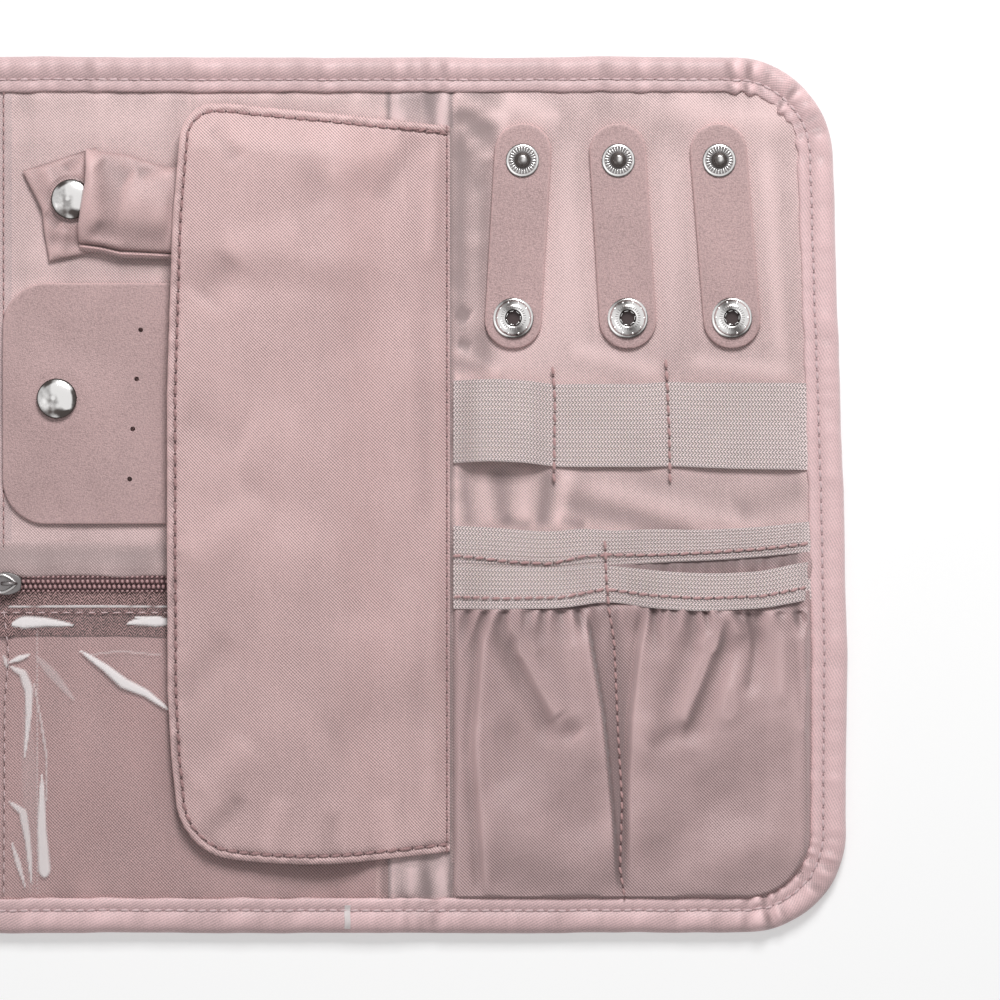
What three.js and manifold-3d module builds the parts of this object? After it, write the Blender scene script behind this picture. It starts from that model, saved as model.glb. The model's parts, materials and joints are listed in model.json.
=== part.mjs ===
import * as THREE from "three";
import { mergeVertices } from "three/addons/utils/BufferGeometryUtils.js";
import Module from "manifold-3d";

// A jewelry roll lying open on its back, in millimetres, with +Z up and its inside facing up.
// From left to right it is a left panel, a wide spine, the middle panel, a narrow spine and the
// right panel. Each panel has its own group, whose origin is at the panel's left seam.

const wasm = await Module();
wasm.setup();

// Driving sizes of the roll
const roll = { height: 250, cornerRadius: 28 };
const middle = { width: 112.3 };
const rightSpine = { width: 18.2 };
const rightPanel = { width: 111.4 };
const leftSpine = { width: 40, foldedLean: THREE.MathUtils.degToRad(80) };
const layer = { cover: 0.8, foam: 3, lining: 0.6, spine: 1.6 };
const binding = { width: 10, flange: 1.2, wall: 1.5, rise: 0.6, roundness: 1.1 };
const gap = { running: 0.3, seam: 0.3, overrun: 5 };
const merge = { tolerance: 0.0005 };
const fullness = { edgeShare: 0.28 };
const facets = {
  cornerSteps: 6,
  bevelSteps: 2,
  latheSides: 16,
  domeShares: [0, 0.3, 0.6, 0.85],
  archSteps: 8,
  clothSteps: 12,
  barSides: 14,
};

// Levels above the table
const foamLow = layer.cover;
const foamHigh = foamLow + layer.foam;
const liningTop = foamHigh + layer.lining;
const foldLevel = liningTop + binding.rise;
const halfHeight = roll.height / 2;
const insideHalfHeight = halfHeight - binding.width;

// Snap fasteners: a stud plate with a post, and the socket that takes the post
const snap = {
  plateRadius: 4.7,
  plateThick: 0.9,
  postRadius: 1.55,
  postHeight: 2.1,
  neckShare: 0.78,
  postShares: { taper: 0.3, bulge: 0.5, crown: 0.75 },
  socketRadius: 5.7,
  socketHeight: 2.5,
  rimHeight: 0.8,
  boreClearance: 0.35,
  capRadius: 5.7,
  capHeight: 1.6,
  shankRadius: 2.7,
  undersideHeight: 1.5,
};
const boreRadius = snap.postRadius + snap.boreClearance;

// Leather necklace straps: an upper half sewn down and a lower half that folds up to the stud
const strap = {
  width: 16.2,
  thick: 1.6,
  snapDistance: 45,
  topMargin: 10.5,
  endMargin: 8.6,
  bendLift: 2,
  studShares: [0.18, 0.425, 0.683],
  studBelowEdge: 19.7,
  roundShare: 0.97,
  tilts: [-3.3, 3.4, 4.6].map(THREE.MathUtils.degToRad),
};

// Elastic loops for small bottles and brushes
const loops = {
  bandWidth: 25,
  bandThick: 1,
  belowEdge: 82.5,
  divisionShares: [0.261, 0.553],
  firstRise: 5,
  otherRise: 1.2,
};

// Two gathered pockets behind elastic mouths, one row in front of the other
const pockets = {
  belowLoops: 16,
  elasticWidth: 12,
  elasticThick: 1,
  clothThick: 0.7,
  rearRise: 0.8,
  frontRise: 5.2,
  dividerTopShare: 0.391,
  dividerBottomShare: 0.44,
  foldDepth: 0.7,
  foldsPerPocket: 3,
  bottomFullnessShare: 0.3,
  hemShare: 0.22,
};

// Covering flap, hinged on the right spine
const flap = {
  frontThick: 0.8,
  backingThick: 0.7,
  reach: 80.5,
  topInset: 14,
  seamTopInset: 19.5,
  bottomInset: 20.5,
  cornerRadius: 11,
  rootFromSeam: 10.2,
  rootSetback: 2.2,
  hemWidth: 6,
  drapeRun: 18,
  drapeRise: 5.6,
  barRise: 7.3,
  barBlend: 12,
};

// Padded ring bar with a snap tab
const bar = {
  width: 26.5,
  thick: 6.2,
  rootThick: 1.6,
  rootRun: 20,
  rootFromSeam: 7.3,
  endFromSnap: 6.3,
  wall: 0.7,
  snapX: 22.2,
  snapBelowEdge: 30.9,
  rootDrop: 9,
  sideShare: 0.6,
  crownShare: 0.8,
  tabThick: 1.1,
  tabReach: 14.8,
  tabShares: [
    [-1, 0.6],
    [-0.57, -0.11],
    [-0.42, -1.34],
    [0.57, -1.05],
    [0.57, 1],
    [0.25, 1.07],
  ],
};

// Leather earring card with rows of holes
const card = {
  left: 2.6,
  belowEdge: 54.6,
  height: 68.6,
  rootFromSeam: 12.3,
  thick: 1.2,
  cornerRadius: 12.8,
  snapX: 18.1,
  snapBelowTop: 33,
  holeRadius: 1.1,
  holePitch: 14.1,
  firstHoleX: 41.9,
  firstHoleBelowTop: 13.4,
  holeColumns: 3,
  holeRows: 4,
  liftRun: 28,
};

// Zipped pockets with a clear window
const zip = {
  belowCard: 17,
  coilWidth: 4.2,
  coilHeight: 1.4,
  toothPitch: 2.6,
  toothShare: 0.45,
  toothDepth: 0.5,
  tapeThick: 0.6,
  upperTape: 9,
  lowerTape: 13,
  endMargin: 8,
  windowThick: 0.4,
  windowOverlap: 8,
  sliderLength: 7,
  sliderWidth: 6.6,
  sliderPlate: 1,
  sliderStart: 1,
  bridgeWidth: 2.2,
  bridgeThick: 0.6,
  bridgeRise: 1.6,
  bridgeLength: 3.4,
  wireThick: 1,
  pullLength: 6.2,
  pullWidth: 5.4,
};
const leftZip = { belowEdge: 34, sideMargin: 6 };

// Closing strap at the free edge of the left panel, which snaps to the back of the right spine
const closure = {
  studFromCrease: 10.4,
  strapWidth: 24,
  strapThick: 1.6,
  strapDrop: 1.4,
  endMargin: 8.5,
  socketHeight: 2,
  plateThick: 0.8,
  postHeight: 1.7,
  clearance: 0.4,
};

// Places that follow from the sizes above
const barSnapY = insideHalfHeight - bar.snapBelowEdge;
const cardTop = insideHalfHeight - card.belowEdge;
const cardBottom = cardTop - card.height;
const cardSnapY = cardTop - card.snapBelowTop;
const zipCoilY = cardBottom - zip.belowCard;
const spineLow = liningTop - layer.spine;
const foldedSpineBack = middle.width + foldLevel - spineLow;
const closureReach = foldedSpineBack + closure.plateThick + closure.clearance;
const closureHinge = closureReach + closure.socketHeight - closure.strapDrop;
const foldedSpineTop = leftSpine.width * Math.cos(leftSpine.foldedLean);
const leftPanelWidth = closureHinge + foldedSpineTop;
const foldedHeight = foldLevel + leftSpine.width * Math.sin(leftSpine.foldedLean);
const closureSocketAt = foldedHeight - foldLevel - closure.studFromCrease;
const closureReachOut = closureSocketAt + closure.endMargin;
const leftPanelX = -leftSpine.width - leftPanelWidth;
const rightPanelX = middle.width + rightSpine.width;
const wholeLeft = leftPanelX - closureReachOut;
const wholeRight = rightPanelX + rightPanel.width;

// Finishes
function finish(color, roughness, metalness = 0, opacity = 1) {
  return new THREE.MeshStandardMaterial({
    color,
    roughness,
    metalness,
    opacity,
    transparent: opacity < 1,
  });
}
const finishes = {
  satinBinding: () => finish(0xdeb4b5, 0.45),
  outerCloth: () => finish(0xc9a5a3, 0.6),
  foam: () => finish(0xe8e4dc, 0.9),
  lining: () => finish(0xcdb0ae, 0.55),
  flapCloth: () => finish(0xbea0a0, 0.5),
  pocketSatin: () => finish(0xa58a8a, 0.4),
  leather: () => finish(0xb89896, 0.6),
  elastic: () => finish(0xc3b4b2, 0.8),
  tape: () => finish(0x9a7674, 0.8),
  coil: () => finish(0x8c6c6c, 0.6),
  nickel: () => finish(0xc8c8ca, 0.22, 1),
  clearSheet: () => finish(0xf2f0f0, 0.1, 0, 0.35),
};

// A closed geometry as a solid that can be joined and cut
function toSolid(geometry) {
  const loose = geometry.index ? geometry.toNonIndexed() : geometry;
  const bare = new THREE.BufferGeometry();
  bare.setAttribute("position", loose.getAttribute("position"));
  const merged = mergeVertices(bare, merge.tolerance);
  const vertProperties = merged.attributes.position.array;
  const triVerts = new Uint32Array(merged.index.array);
  return new wasm.Manifold(new wasm.Mesh({ numProp: 3, vertProperties, triVerts }));
}

function toGeometry(solid) {
  const mesh = solid.getMesh();
  const geometry = new THREE.BufferGeometry();
  geometry.setAttribute("position", new THREE.BufferAttribute(mesh.vertProperties, 3));
  geometry.setIndex(new THREE.BufferAttribute(mesh.triVerts, 1));
  geometry.computeVertexNormals();
  return geometry;
}

function addPiece(group, name, solid, material) {
  const mesh = new THREE.Mesh(toGeometry(solid), material);
  mesh.name = name;
  group.add(mesh);
  return mesh;
}

// An outline through corners [x, y, radius], given counter-clockwise; only convex ones are rounded
function outline(corners) {
  const shape = new THREE.Shape();
  corners.forEach(([x, y, radius = 0], i) => {
    const corner = new THREE.Vector2(x, y);
    const before = new THREE.Vector2(...corners.at(i - 1).slice(0, 2)).sub(corner).normalize();
    const next = corners[(i + 1) % corners.length];
    const after = new THREE.Vector2(...next.slice(0, 2)).sub(corner).normalize();
    const half = Math.acos(before.dot(after)) / 2;
    const start = corner.clone().addScaledVector(before, radius / Math.tan(half));
    const end = corner.clone().addScaledVector(after, radius / Math.tan(half));
    if (i === 0) shape.moveTo(start.x, start.y);
    else shape.lineTo(start.x, start.y);
    if (radius === 0) return;
    const inward = before.clone().add(after).normalize();
    const centre = corner.clone().addScaledVector(inward, radius / Math.sin(half));
    const startAngle = start.sub(centre).angle();
    const endAngle = end.sub(centre).angle();
    shape.absarc(centre.x, centre.y, radius, startAngle, endAngle, false);
  });
  return shape;
}

function rectangle(left, right, bottom, top, leftRadius = 0, rightRadius = 0) {
  return outline([
    [left, bottom, leftRadius],
    [right, bottom, rightRadius],
    [right, top, rightRadius],
    [left, top, leftRadius],
  ]);
}

// A flat plate between two levels; its faces lie exactly on them
function plate(shape, low, high) {
  const geometry = new THREE.ExtrudeGeometry(shape, {
    depth: high - low,
    bevelEnabled: false,
    curveSegments: facets.cornerSteps,
  });
  const position = geometry.attributes.position;
  for (let i = 0; i < position.count; i++) position.setZ(i, position.getZ(i) > 0 ? high : low);
  return toSolid(geometry);
}

// A profile drawn in X and Z, drawn out along Y
function drawnAlongY(shape, bottom, top) {
  const geometry = new THREE.ExtrudeGeometry(shape, {
    depth: top - bottom,
    bevelEnabled: false,
    curveSegments: facets.cornerSteps,
  });
  return toSolid(geometry.rotateX(Math.PI / 2).translate(0, top, 0));
}

// A closed sheet from a grid: place(u, v, side) gives the point on its lower or upper side
function sheet(columns, rows, place) {
  const positions = [];
  const sides = [0, 1];
  for (const side of sides)
    for (let j = 0; j <= rows; j++)
      for (let i = 0; i <= columns; i++) positions.push(...place(i / columns, j / rows, side));
  const across = columns + 1;
  const upper = across * (rows + 1);
  const index = [];
  const quad = (a, b, c, d) => index.push(a, b, c, a, c, d);
  for (let j = 0; j < rows; j++)
    for (let i = 0; i < columns; i++) {
      const a = j * across + i;
      quad(upper + a, upper + a + 1, upper + a + 1 + across, upper + a + across);
      quad(a, a + across, a + 1 + across, a + 1);
    }
  const wall = (a, b) => quad(a, b, upper + b, upper + a);
  for (let i = 0; i < columns; i++) {
    wall(i, i + 1);
    wall(rows * across + i + 1, rows * across + i);
  }
  for (let j = 0; j < rows; j++) {
    wall((j + 1) * across, j * across);
    wall(j * across + columns, (j + 1) * across + columns);
  }
  const geometry = new THREE.BufferGeometry();
  geometry.setAttribute("position", new THREE.Float32BufferAttribute(positions, 3));
  geometry.setIndex(index);
  return toSolid(geometry);
}

// A turned piece from its half section [radius, height], drawn upwards, standing on Z
function turned(section) {
  const points = section.map(([radius, height]) => new THREE.Vector2(radius, height));
  const geometry = new THREE.LatheGeometry(points, facets.latheSides).rotateX(Math.PI / 2);
  return toSolid(geometry);
}

// A closed skin through rings of points; place(angle, share) gives each point
function loft(around, along, place) {
  const positions = [];
  for (let j = 0; j <= along; j++)
    for (let i = 0; i < around; i++)
      positions.push(...place((i / around) * 2 * Math.PI, j / along));
  const middleOf = (ring) => {
    const centre = new THREE.Vector3();
    for (let i = 0; i < around; i++)
      centre.add(new THREE.Vector3().fromArray(positions, (ring * around + i) * 3));
    return centre.divideScalar(around);
  };
  const first = around * (along + 1);
  const last = first + 1;
  positions.push(...middleOf(0), ...middleOf(along));
  const index = [];
  for (let i = 0; i < around; i++) {
    const next = (i + 1) % around;
    for (let j = 0; j < along; j++) {
      const a = j * around;
      const b = a + around;
      index.push(a + i, a + next, b + next, a + i, b + next, b + i);
    }
    index.push(first, next, i);
    index.push(last, along * around + i, along * around + next);
  }
  const geometry = new THREE.BufferGeometry();
  geometry.setAttribute("position", new THREE.Float32BufferAttribute(positions, 3));
  geometry.setIndex(index);
  return toSolid(geometry);
}

// A share between stops, so that a grid's columns land on each stop
function along(stops, share) {
  const place = share * (stops.length - 1);
  const before = Math.min(Math.floor(place), stops.length - 2);
  return THREE.MathUtils.lerp(stops[before], stops[before + 1], place - before);
}

// How full a band or pocket stands between two seams, from 0 at the seams to 1
function arch(stops, share) {
  const place = share * (stops.length - 1);
  const within = place - Math.floor(place);
  return smooth(within / fullness.edgeShare) * smooth((1 - within) / fullness.edgeShare);
}

function smooth(share) {
  return THREE.MathUtils.smoothstep(share, 0, 1);
}

// Padded panels: outer cloth, foam and lining, bound at the free edges
function boundEdges(left, right, leftFree, rightFree) {
  const leftRadius = leftFree ? roll.cornerRadius : 0;
  const rightRadius = rightFree ? roll.cornerRadius : 0;
  const inset = (by, past) => {
    const shrink = (radius) => (radius === 0 ? 0 : radius - by);
    const a = leftFree ? left + by : left - past;
    const b = rightFree ? right - by : right + past;
    return rectangle(a, b, by - halfHeight, halfHeight - by, shrink(leftRadius), shrink(rightRadius));
  };
  const round = binding.roundness;
  const rounded = new THREE.ExtrudeGeometry(inset(round, gap.overrun), {
    depth: foldLevel - 2 * round,
    bevelThickness: round,
    bevelSize: round,
    bevelSegments: facets.bevelSteps,
    curveSegments: facets.cornerSteps,
  });
  const outside = toSolid(rounded.translate(0, 0, round));
  const tall = gap.overrun + foldLevel;
  const between = plate(rectangle(left, right, -roll.height, roll.height), -gap.overrun, tall);
  const inside = plate(inset(binding.width, gap.overrun), -gap.overrun, tall);
  const slotLow = binding.flange;
  const slotHigh = foldLevel - binding.flange;
  const slot = plate(inset(binding.wall, gap.overrun), slotLow, slotHigh);
  const ring = outside.intersect(between).subtract(inside).subtract(slot);
  const seamSide = (free) => (free ? binding.width + gap.running : 0);
  const field = (low, high) => {
    const a = left + seamSide(leftFree);
    const b = right - seamSide(rightFree);
    const y = insideHalfHeight - gap.running;
    const shrink = (radius) => (radius === 0 ? 0 : radius - binding.width - gap.running);
    return plate(rectangle(a, b, -y, y, shrink(leftRadius), shrink(rightRadius)), low, high);
  };
  const tongueInset = binding.wall + gap.running;
  const tongueLow = slotLow + gap.running;
  const tongueHigh = slotHigh - gap.running;
  const tongue = plate(inset(tongueInset, 0), tongueLow, tongueHigh);
  return { ring, field, tongue };
}

function paddedPanel(group, label, width, leftFree, rightFree) {
  const left = leftFree ? 0 : gap.seam / 2;
  const right = rightFree ? width : width - gap.seam / 2;
  const { ring, field, tongue } = boundEdges(left, right, leftFree, rightFree);
  addPiece(group, `outer_cover_${label}`, field(0, layer.cover), finishes.outerCloth());
  addPiece(group, `foam_pad_${label}`, field(foamLow, foamHigh).add(tongue), finishes.foam());
  addPiece(group, `lining_${label}`, field(foamHigh, liningTop), finishes.lining());
  addBinding(group, label, ring);
}

// A spine is two layers of cloth sewn together, with the binding running on along both ends
function spinePanel(group, label, width) {
  const left = gap.seam / 2;
  const right = width - gap.seam / 2;
  const { ring, field } = boundEdges(left, right, false, false);
  addPiece(group, `${label}_cloth`, field(spineLow, liningTop), finishes.pocketSatin());
  addBinding(group, label, ring);
}

function addBinding(group, label, ring) {
  const runs = ring.decompose();
  const middleOf = (run) => run.boundingBox().min[1] + run.boundingBox().max[1];
  runs.sort((a, b) => middleOf(b) - middleOf(a));
  const ends = runs.length === 1 ? [""] : ["_top", "_bottom"];
  runs.forEach((run, i) =>
    addPiece(group, `binding_${label}${ends[i]}`, run, finishes.satinBinding()),
  );
}

// Snap pieces, drawn at the origin and standing on level zero
function studSection(plateThick, postHeight) {
  const neck = snap.postRadius * snap.neckShare;
  const top = plateThick + postHeight;
  const levelAt = (share) => plateThick + postHeight * share;
  return [
    [0, 0],
    [snap.plateRadius, 0],
    [snap.plateRadius, plateThick / 2],
    [snap.plateRadius - plateThick / 2, plateThick],
    [neck, plateThick],
    [neck, levelAt(snap.postShares.taper)],
    [snap.postRadius, levelAt(snap.postShares.bulge)],
    [snap.postRadius, levelAt(snap.postShares.crown)],
    [neck, top],
    [0, top],
  ];
}

function socketSection(height) {
  const shoulder = (snap.socketRadius + boreRadius) / 2;
  return [
    [boreRadius, 0],
    [snap.socketRadius, 0],
    [snap.socketRadius, Math.min(snap.rimHeight, height / 2)],
    [shoulder, height],
    [boreRadius, height],
    [boreRadius, 0],
  ];
}

// A cap above the piece it holds, with the socket below it, in one turned rivet
function capSection(heldThick) {
  const boreTop = heldThick - gap.running;
  const dome = facets.domeShares.map((share) => (share * Math.PI) / 2);
  return [
    [0, boreTop],
    [boreRadius, boreTop],
    [boreRadius, -snap.undersideHeight],
    [snap.plateRadius, -snap.undersideHeight],
    [snap.plateRadius, 0],
    [snap.shankRadius, 0],
    [snap.shankRadius, heldThick],
    ...dome.map((angle) => [
      snap.capRadius * Math.cos(angle),
      heldThick + snap.capHeight * Math.sin(angle),
    ]),
    [0, heldThick + snap.capHeight],
  ];
}

const root = new THREE.Group();
const whole = new THREE.Group();
whole.position.x = -(wholeLeft + wholeRight) / 2;
root.add(whole);

function panelGroup(x) {
  const group = new THREE.Group();
  group.position.x = x;
  whole.add(group);
  return group;
}

// Middle panel
const middleGroup = panelGroup(0);
paddedPanel(middleGroup, "middle", middle.width, false, false);

// Snap studs of the ring bar and the earring card
function addStud(group, name, x, y, low) {
  const stud = turned(studSection(snap.plateThick, snap.postHeight)).translate([x, y, low]);
  addPiece(group, name, stud, finishes.nickel());
}
addStud(middleGroup, "ring_bar_stud", bar.snapX, barSnapY, liningTop);
addStud(middleGroup, "earring_card_stud", card.snapX, cardSnapY, liningTop);
const heldLow = liningTop + snap.plateThick + gap.running + snap.undersideHeight;

// Zipped pocket: two tapes, a toothed coil between them and a clear window below
function coilOutline(left, right) {
  const low = liningTop + zip.tapeThick;
  const high = low + zip.coilHeight;
  const shape = new THREE.Shape();
  shape.moveTo(left, low);
  shape.lineTo(right, low);
  const teeth = Math.floor((right - left) / zip.toothPitch);
  const pitch = (right - left) / teeth;
  for (let i = teeth; i > 0; i--) {
    const x = left + i * pitch;
    shape.lineTo(x, high);
    shape.lineTo(x - zip.toothShare * pitch, high);
    shape.lineTo(x - zip.toothShare * pitch, high - zip.toothDepth);
    shape.lineTo(x - pitch, high - zip.toothDepth);
  }
  return shape;
}

function zipPieces(left, right, coilY) {
  const tapeTop = liningTop + zip.tapeThick;
  const coilLow = coilY - zip.coilWidth / 2;
  const coilHigh = coilY + zip.coilWidth / 2;
  const upper = rectangle(left, right, coilY, coilHigh + zip.upperTape);
  const lower = rectangle(left, right, coilLow - zip.lowerTape, coilY - gap.running);
  return {
    upper: plate(upper, liningTop, tapeTop),
    lower: plate(lower, liningTop, tapeTop),
    coil: drawnAlongY(coilOutline(left, right), coilLow, coilHigh),
  };
}

// The window starts on the lower tape and is sewn round its other three sides
function clearWindow(left, right, coilY, cornerLeft) {
  const tapeTop = liningTop + zip.tapeThick;
  const top = coilY - zip.coilWidth / 2 - zip.lowerTape + zip.windowOverlap;
  const bottom = gap.running - insideHalfHeight;
  const radius = cornerLeft ? roll.cornerRadius - binding.width : 0;
  const shape = outline([
    [left, bottom, radius],
    [right, bottom],
    [right, top],
    [left, top],
  ]);
  return plate(shape, tapeTop, tapeTop + zip.windowThick);
}

// The slider's flanges reach down beside the coil, and its bridge carries the wire pull
const sliderLow = liningTop + zip.tapeThick + zip.coilHeight + gap.running;
const sliderHigh = sliderLow + zip.sliderPlate;
function slider(left, coilY) {
  const right = left + zip.sliderLength;
  const halfWidth = zip.sliderWidth / 2;
  const inside = zip.coilWidth / 2 + gap.running;
  const flangeLow = liningTop + zip.tapeThick + gap.running;
  const corner = zip.sliderPlate;
  const body = rectangle(left, right, coilY - halfWidth, coilY + halfWidth, corner, corner);
  const channel = rectangle(left - gap.overrun, right + gap.overrun, coilY - inside, coilY + inside);
  const shell = plate(body, flangeLow, sliderHigh).subtract(plate(channel, 0, sliderLow));
  const bridgeRight = right;
  const bridgeLeft = right - zip.bridgeLength;
  const bridgeTop = sliderHigh + zip.bridgeRise + zip.bridgeThick;
  const arch = rectangle(bridgeLeft, bridgeRight, sliderLow, bridgeTop);
  const eye = rectangle(
    bridgeLeft + zip.bridgeThick,
    bridgeRight - zip.bridgeThick,
    sliderHigh,
    bridgeTop - zip.bridgeThick,
  );
  const halfBridge = zip.bridgeWidth / 2;
  const bridge = drawnAlongY(arch, coilY - halfBridge, coilY + halfBridge);
  const hole = drawnAlongY(eye, coilY - zip.sliderWidth, coilY + zip.sliderWidth);
  return shell.add(bridge).subtract(hole);
}

// The pull is one bent wire: a straight bar through the bridge and a rounded loop beyond it
function wirePull(left, coilY) {
  const axisX = left + zip.sliderLength - zip.bridgeLength / 2;
  const low = sliderHigh + (zip.bridgeRise - zip.wireThick) / 2;
  const high = low + zip.wireThick;
  const halfWidth = zip.pullWidth / 2;
  const wire = zip.wireThick;
  const start = axisX - zip.pullLength;
  const end = axisX + wire / 2;
  const radius = halfWidth - gap.running;
  const outer = rectangle(start, end, coilY - halfWidth, coilY + halfWidth, radius, 0);
  const inner = rectangle(
    start + wire,
    end - wire,
    coilY - halfWidth + wire,
    coilY + halfWidth - wire,
    radius - wire,
    0,
  );
  return plate(outer, low, high).subtract(plate(inner, 0, foldLevel + roll.height));
}

const middleZipEnd = middle.width - zip.endMargin;
const middleZip = zipPieces(gap.running + zip.sliderStart, middleZipEnd, zipCoilY);
addPiece(middleGroup, "zipper_tape_upper", middleZip.upper, finishes.tape());
addPiece(middleGroup, "zipper_tape_lower", middleZip.lower, finishes.tape());
addPiece(middleGroup, "zipper_coil", middleZip.coil, finishes.coil());
const middleWindow = clearWindow(gap.running + zip.sliderStart, middleZipEnd, zipCoilY, false);
addPiece(middleGroup, "clear_pocket_window", middleWindow, finishes.clearSheet());
addPiece(middleGroup, "zipper_slider", slider(zip.sliderStart, zipCoilY), finishes.nickel());
addPiece(middleGroup, "zipper_pull", wirePull(zip.sliderStart, zipCoilY), finishes.nickel());

// Narrow spine, with the closing stud on its back
const rightSpineGroup = panelGroup(middle.width);
spinePanel(rightSpineGroup, "right_spine", rightSpine.width);
const closingStud = turned(studSection(closure.plateThick, closure.postHeight))
  .rotate([180, 0, 0])
  .translate([closure.studFromCrease, 0, spineLow]);
addPiece(rightSpineGroup, "closing_stud", closingStud, finishes.nickel());

// Flap: a root sewn to the spine, a hem that bends, and two layers of cloth over the middle panel
const flapThick = flap.backingThick + gap.running + flap.frontThick;
const flapTop = liningTop + gap.running + flapThick;
const flapEnd = rightPanelX - flap.rootSetback;
const flapRootX = rightPanelX - flap.rootFromSeam;
const flapHingeX = flapRootX - flap.hemWidth;
const flapLeft = rightPanelX - flap.reach;
const flapOutline = plate(
  outline([
    [flapLeft, flap.bottomInset - halfHeight, flap.cornerRadius],
    [flapEnd, flap.bottomInset - halfHeight],
    [flapEnd, halfHeight - flap.seamTopInset],
    [flapLeft, halfHeight - flap.topInset, flap.cornerRadius],
  ]),
  0,
  roll.height,
);
function flapStrip(left, right, low) {
  const band = rectangle(left + gap.seam / 2, right - gap.seam / 2, -halfHeight, halfHeight);
  return plate(band, low, flapTop).intersect(flapOutline);
}
const flapRoot = flapStrip(flapRootX, rightPanelX, liningTop);
addPiece(middleGroup, "flap_root", flapRoot, finishes.flapCloth());
const flapHem = flapStrip(flapHingeX, flapRootX, liningTop + gap.running);
addPiece(middleGroup, "flap_hem", flapHem, finishes.flapCloth());

// The flap rises from its hinge to clear the pocket and the card, and more over the ring bar
const barRootX = middle.width - bar.rootFromSeam;
const barRootY = barSnapY - bar.rootDrop;
const barLength = barRootX - bar.snapX - bar.endFromSnap;
function overBar(y) {
  const low = barRootY - bar.width / 2;
  const high = barSnapY + bar.width / 2;
  const rising = smooth((y - low + flap.barBlend) / flap.barBlend);
  return rising * smooth((high + flap.barBlend - y) / flap.barBlend);
}
function flapRise(x, y) {
  const rise = THREE.MathUtils.lerp(flap.drapeRise, flap.barRise, overBar(y));
  return liningTop + gap.running + rise * smooth((flapHingeX - x) / flap.drapeRun);
}
function flapLayer(lift, thick) {
  const right = flapHingeX - gap.seam / 2;
  const layerSheet = sheet(facets.clothSteps, facets.clothSteps, (u, v, side) => {
    const x = THREE.MathUtils.lerp(flapLeft, right, u);
    const y = THREE.MathUtils.lerp(-halfHeight, halfHeight, v);
    return [x, y, flapRise(x, y) + lift + side * thick];
  });
  return layerSheet.intersect(flapOutline);
}
const flapBacking = flapLayer(0, flap.backingThick);
const flapFront = flapLayer(flap.backingThick + gap.running, flap.frontThick);
addPiece(middleGroup, "flap_backing", flapBacking, finishes.lining());
addPiece(middleGroup, "flap_front", flapFront, finishes.flapCloth());

// Ring bar: a cloth sleeve stuffed with a core, sewn down at its root
function barSkin(from, to, inset) {
  const slope = bar.rootDrop / (barRootX - bar.snapX);
  return loft(facets.barSides, facets.archSteps, (angle, share) => {
    const reach = THREE.MathUtils.lerp(from, to, share);
    const thick = THREE.MathUtils.lerp(bar.rootThick, bar.thick, smooth(reach / bar.rootRun));
    const signed = (value, power) => Math.sign(value) * Math.abs(value) ** power;
    const acrossShare = signed(Math.cos(angle), bar.sideShare);
    const upShare = signed(Math.sin(angle), bar.crownShare);
    return [
      barRootX - reach,
      barRootY + slope * reach - acrossShare * (bar.width / 2 - inset),
      liningTop + gap.running + thick / 2 + upShare * (thick / 2 - inset),
    ];
  });
}
const coreStart = bar.rootRun / 2;
const coreEnd = barLength - bar.tabReach / 2;
const core = barSkin(coreStart + bar.wall, coreEnd, bar.wall + gap.running);
const hollow = barSkin(coreStart, barLength + gap.overrun, bar.wall);
const tabShape = outline(
  bar.tabShares.map(([sideways, upward]) => [
    bar.snapX + sideways * bar.tabReach,
    barSnapY + (upward * bar.width) / 2,
  ]),
);
const post = (x, y, radius) => turned([[0, 0], [radius, 0], [radius, foldedHeight], [0, foldedHeight]])
  .translate([x, y, 0]);
const shankHole = snap.shankRadius + gap.running;
const sleeve = barSkin(0, barLength, 0)
  .subtract(hollow)
  .add(plate(tabShape, heldLow, heldLow + bar.tabThick))
  .subtract(post(bar.snapX, barSnapY, shankHole));
addPiece(middleGroup, "ring_bar_sleeve", sleeve, finishes.pocketSatin());
addPiece(middleGroup, "ring_bar_core", core, finishes.foam());
const barCap = turned(capSection(bar.tabThick)).translate([bar.snapX, barSnapY, heldLow]);
addPiece(middleGroup, "ring_bar_snap_cap", barCap, finishes.nickel());

// Earring card: sewn down at its right edge and lifted over the snap
const cardRootX = middle.width - card.rootFromSeam;
const cardSheet = sheet(facets.clothSteps, 1, (u, v, side) => {
  const x = THREE.MathUtils.lerp(card.left, cardRootX, u);
  const y = THREE.MathUtils.lerp(cardBottom, cardTop, v);
  const lift = (heldLow - liningTop - gap.running) * smooth((cardRootX - x) / card.liftRun);
  return [x, y, liningTop + gap.running + lift + side * card.thick];
});
const cardOutline = rectangle(
  card.left,
  cardRootX,
  cardBottom,
  cardTop,
  card.cornerRadius,
);
let leather = cardSheet.intersect(plate(cardOutline, 0, foldedHeight));
for (let column = 0; column < card.holeColumns; column++)
  for (let row = 0; row < card.holeRows; row++) {
    const x = card.firstHoleX + column * card.holePitch;
    const y = cardTop - card.firstHoleBelowTop - row * card.holePitch;
    leather = leather.subtract(post(x, y, card.holeRadius));
  }
leather = leather.subtract(post(card.snapX, cardSnapY, shankHole));
addPiece(middleGroup, "earring_card", leather, finishes.leather());
const cardCap = turned(capSection(card.thick)).translate([card.snapX, cardSnapY, heldLow]);
addPiece(middleGroup, "earring_card_snap_cap", cardCap, finishes.nickel());

// Right panel
const rightGroup = panelGroup(rightPanelX);
paddedPanel(rightGroup, "right", rightPanel.width, false, true);

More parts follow.
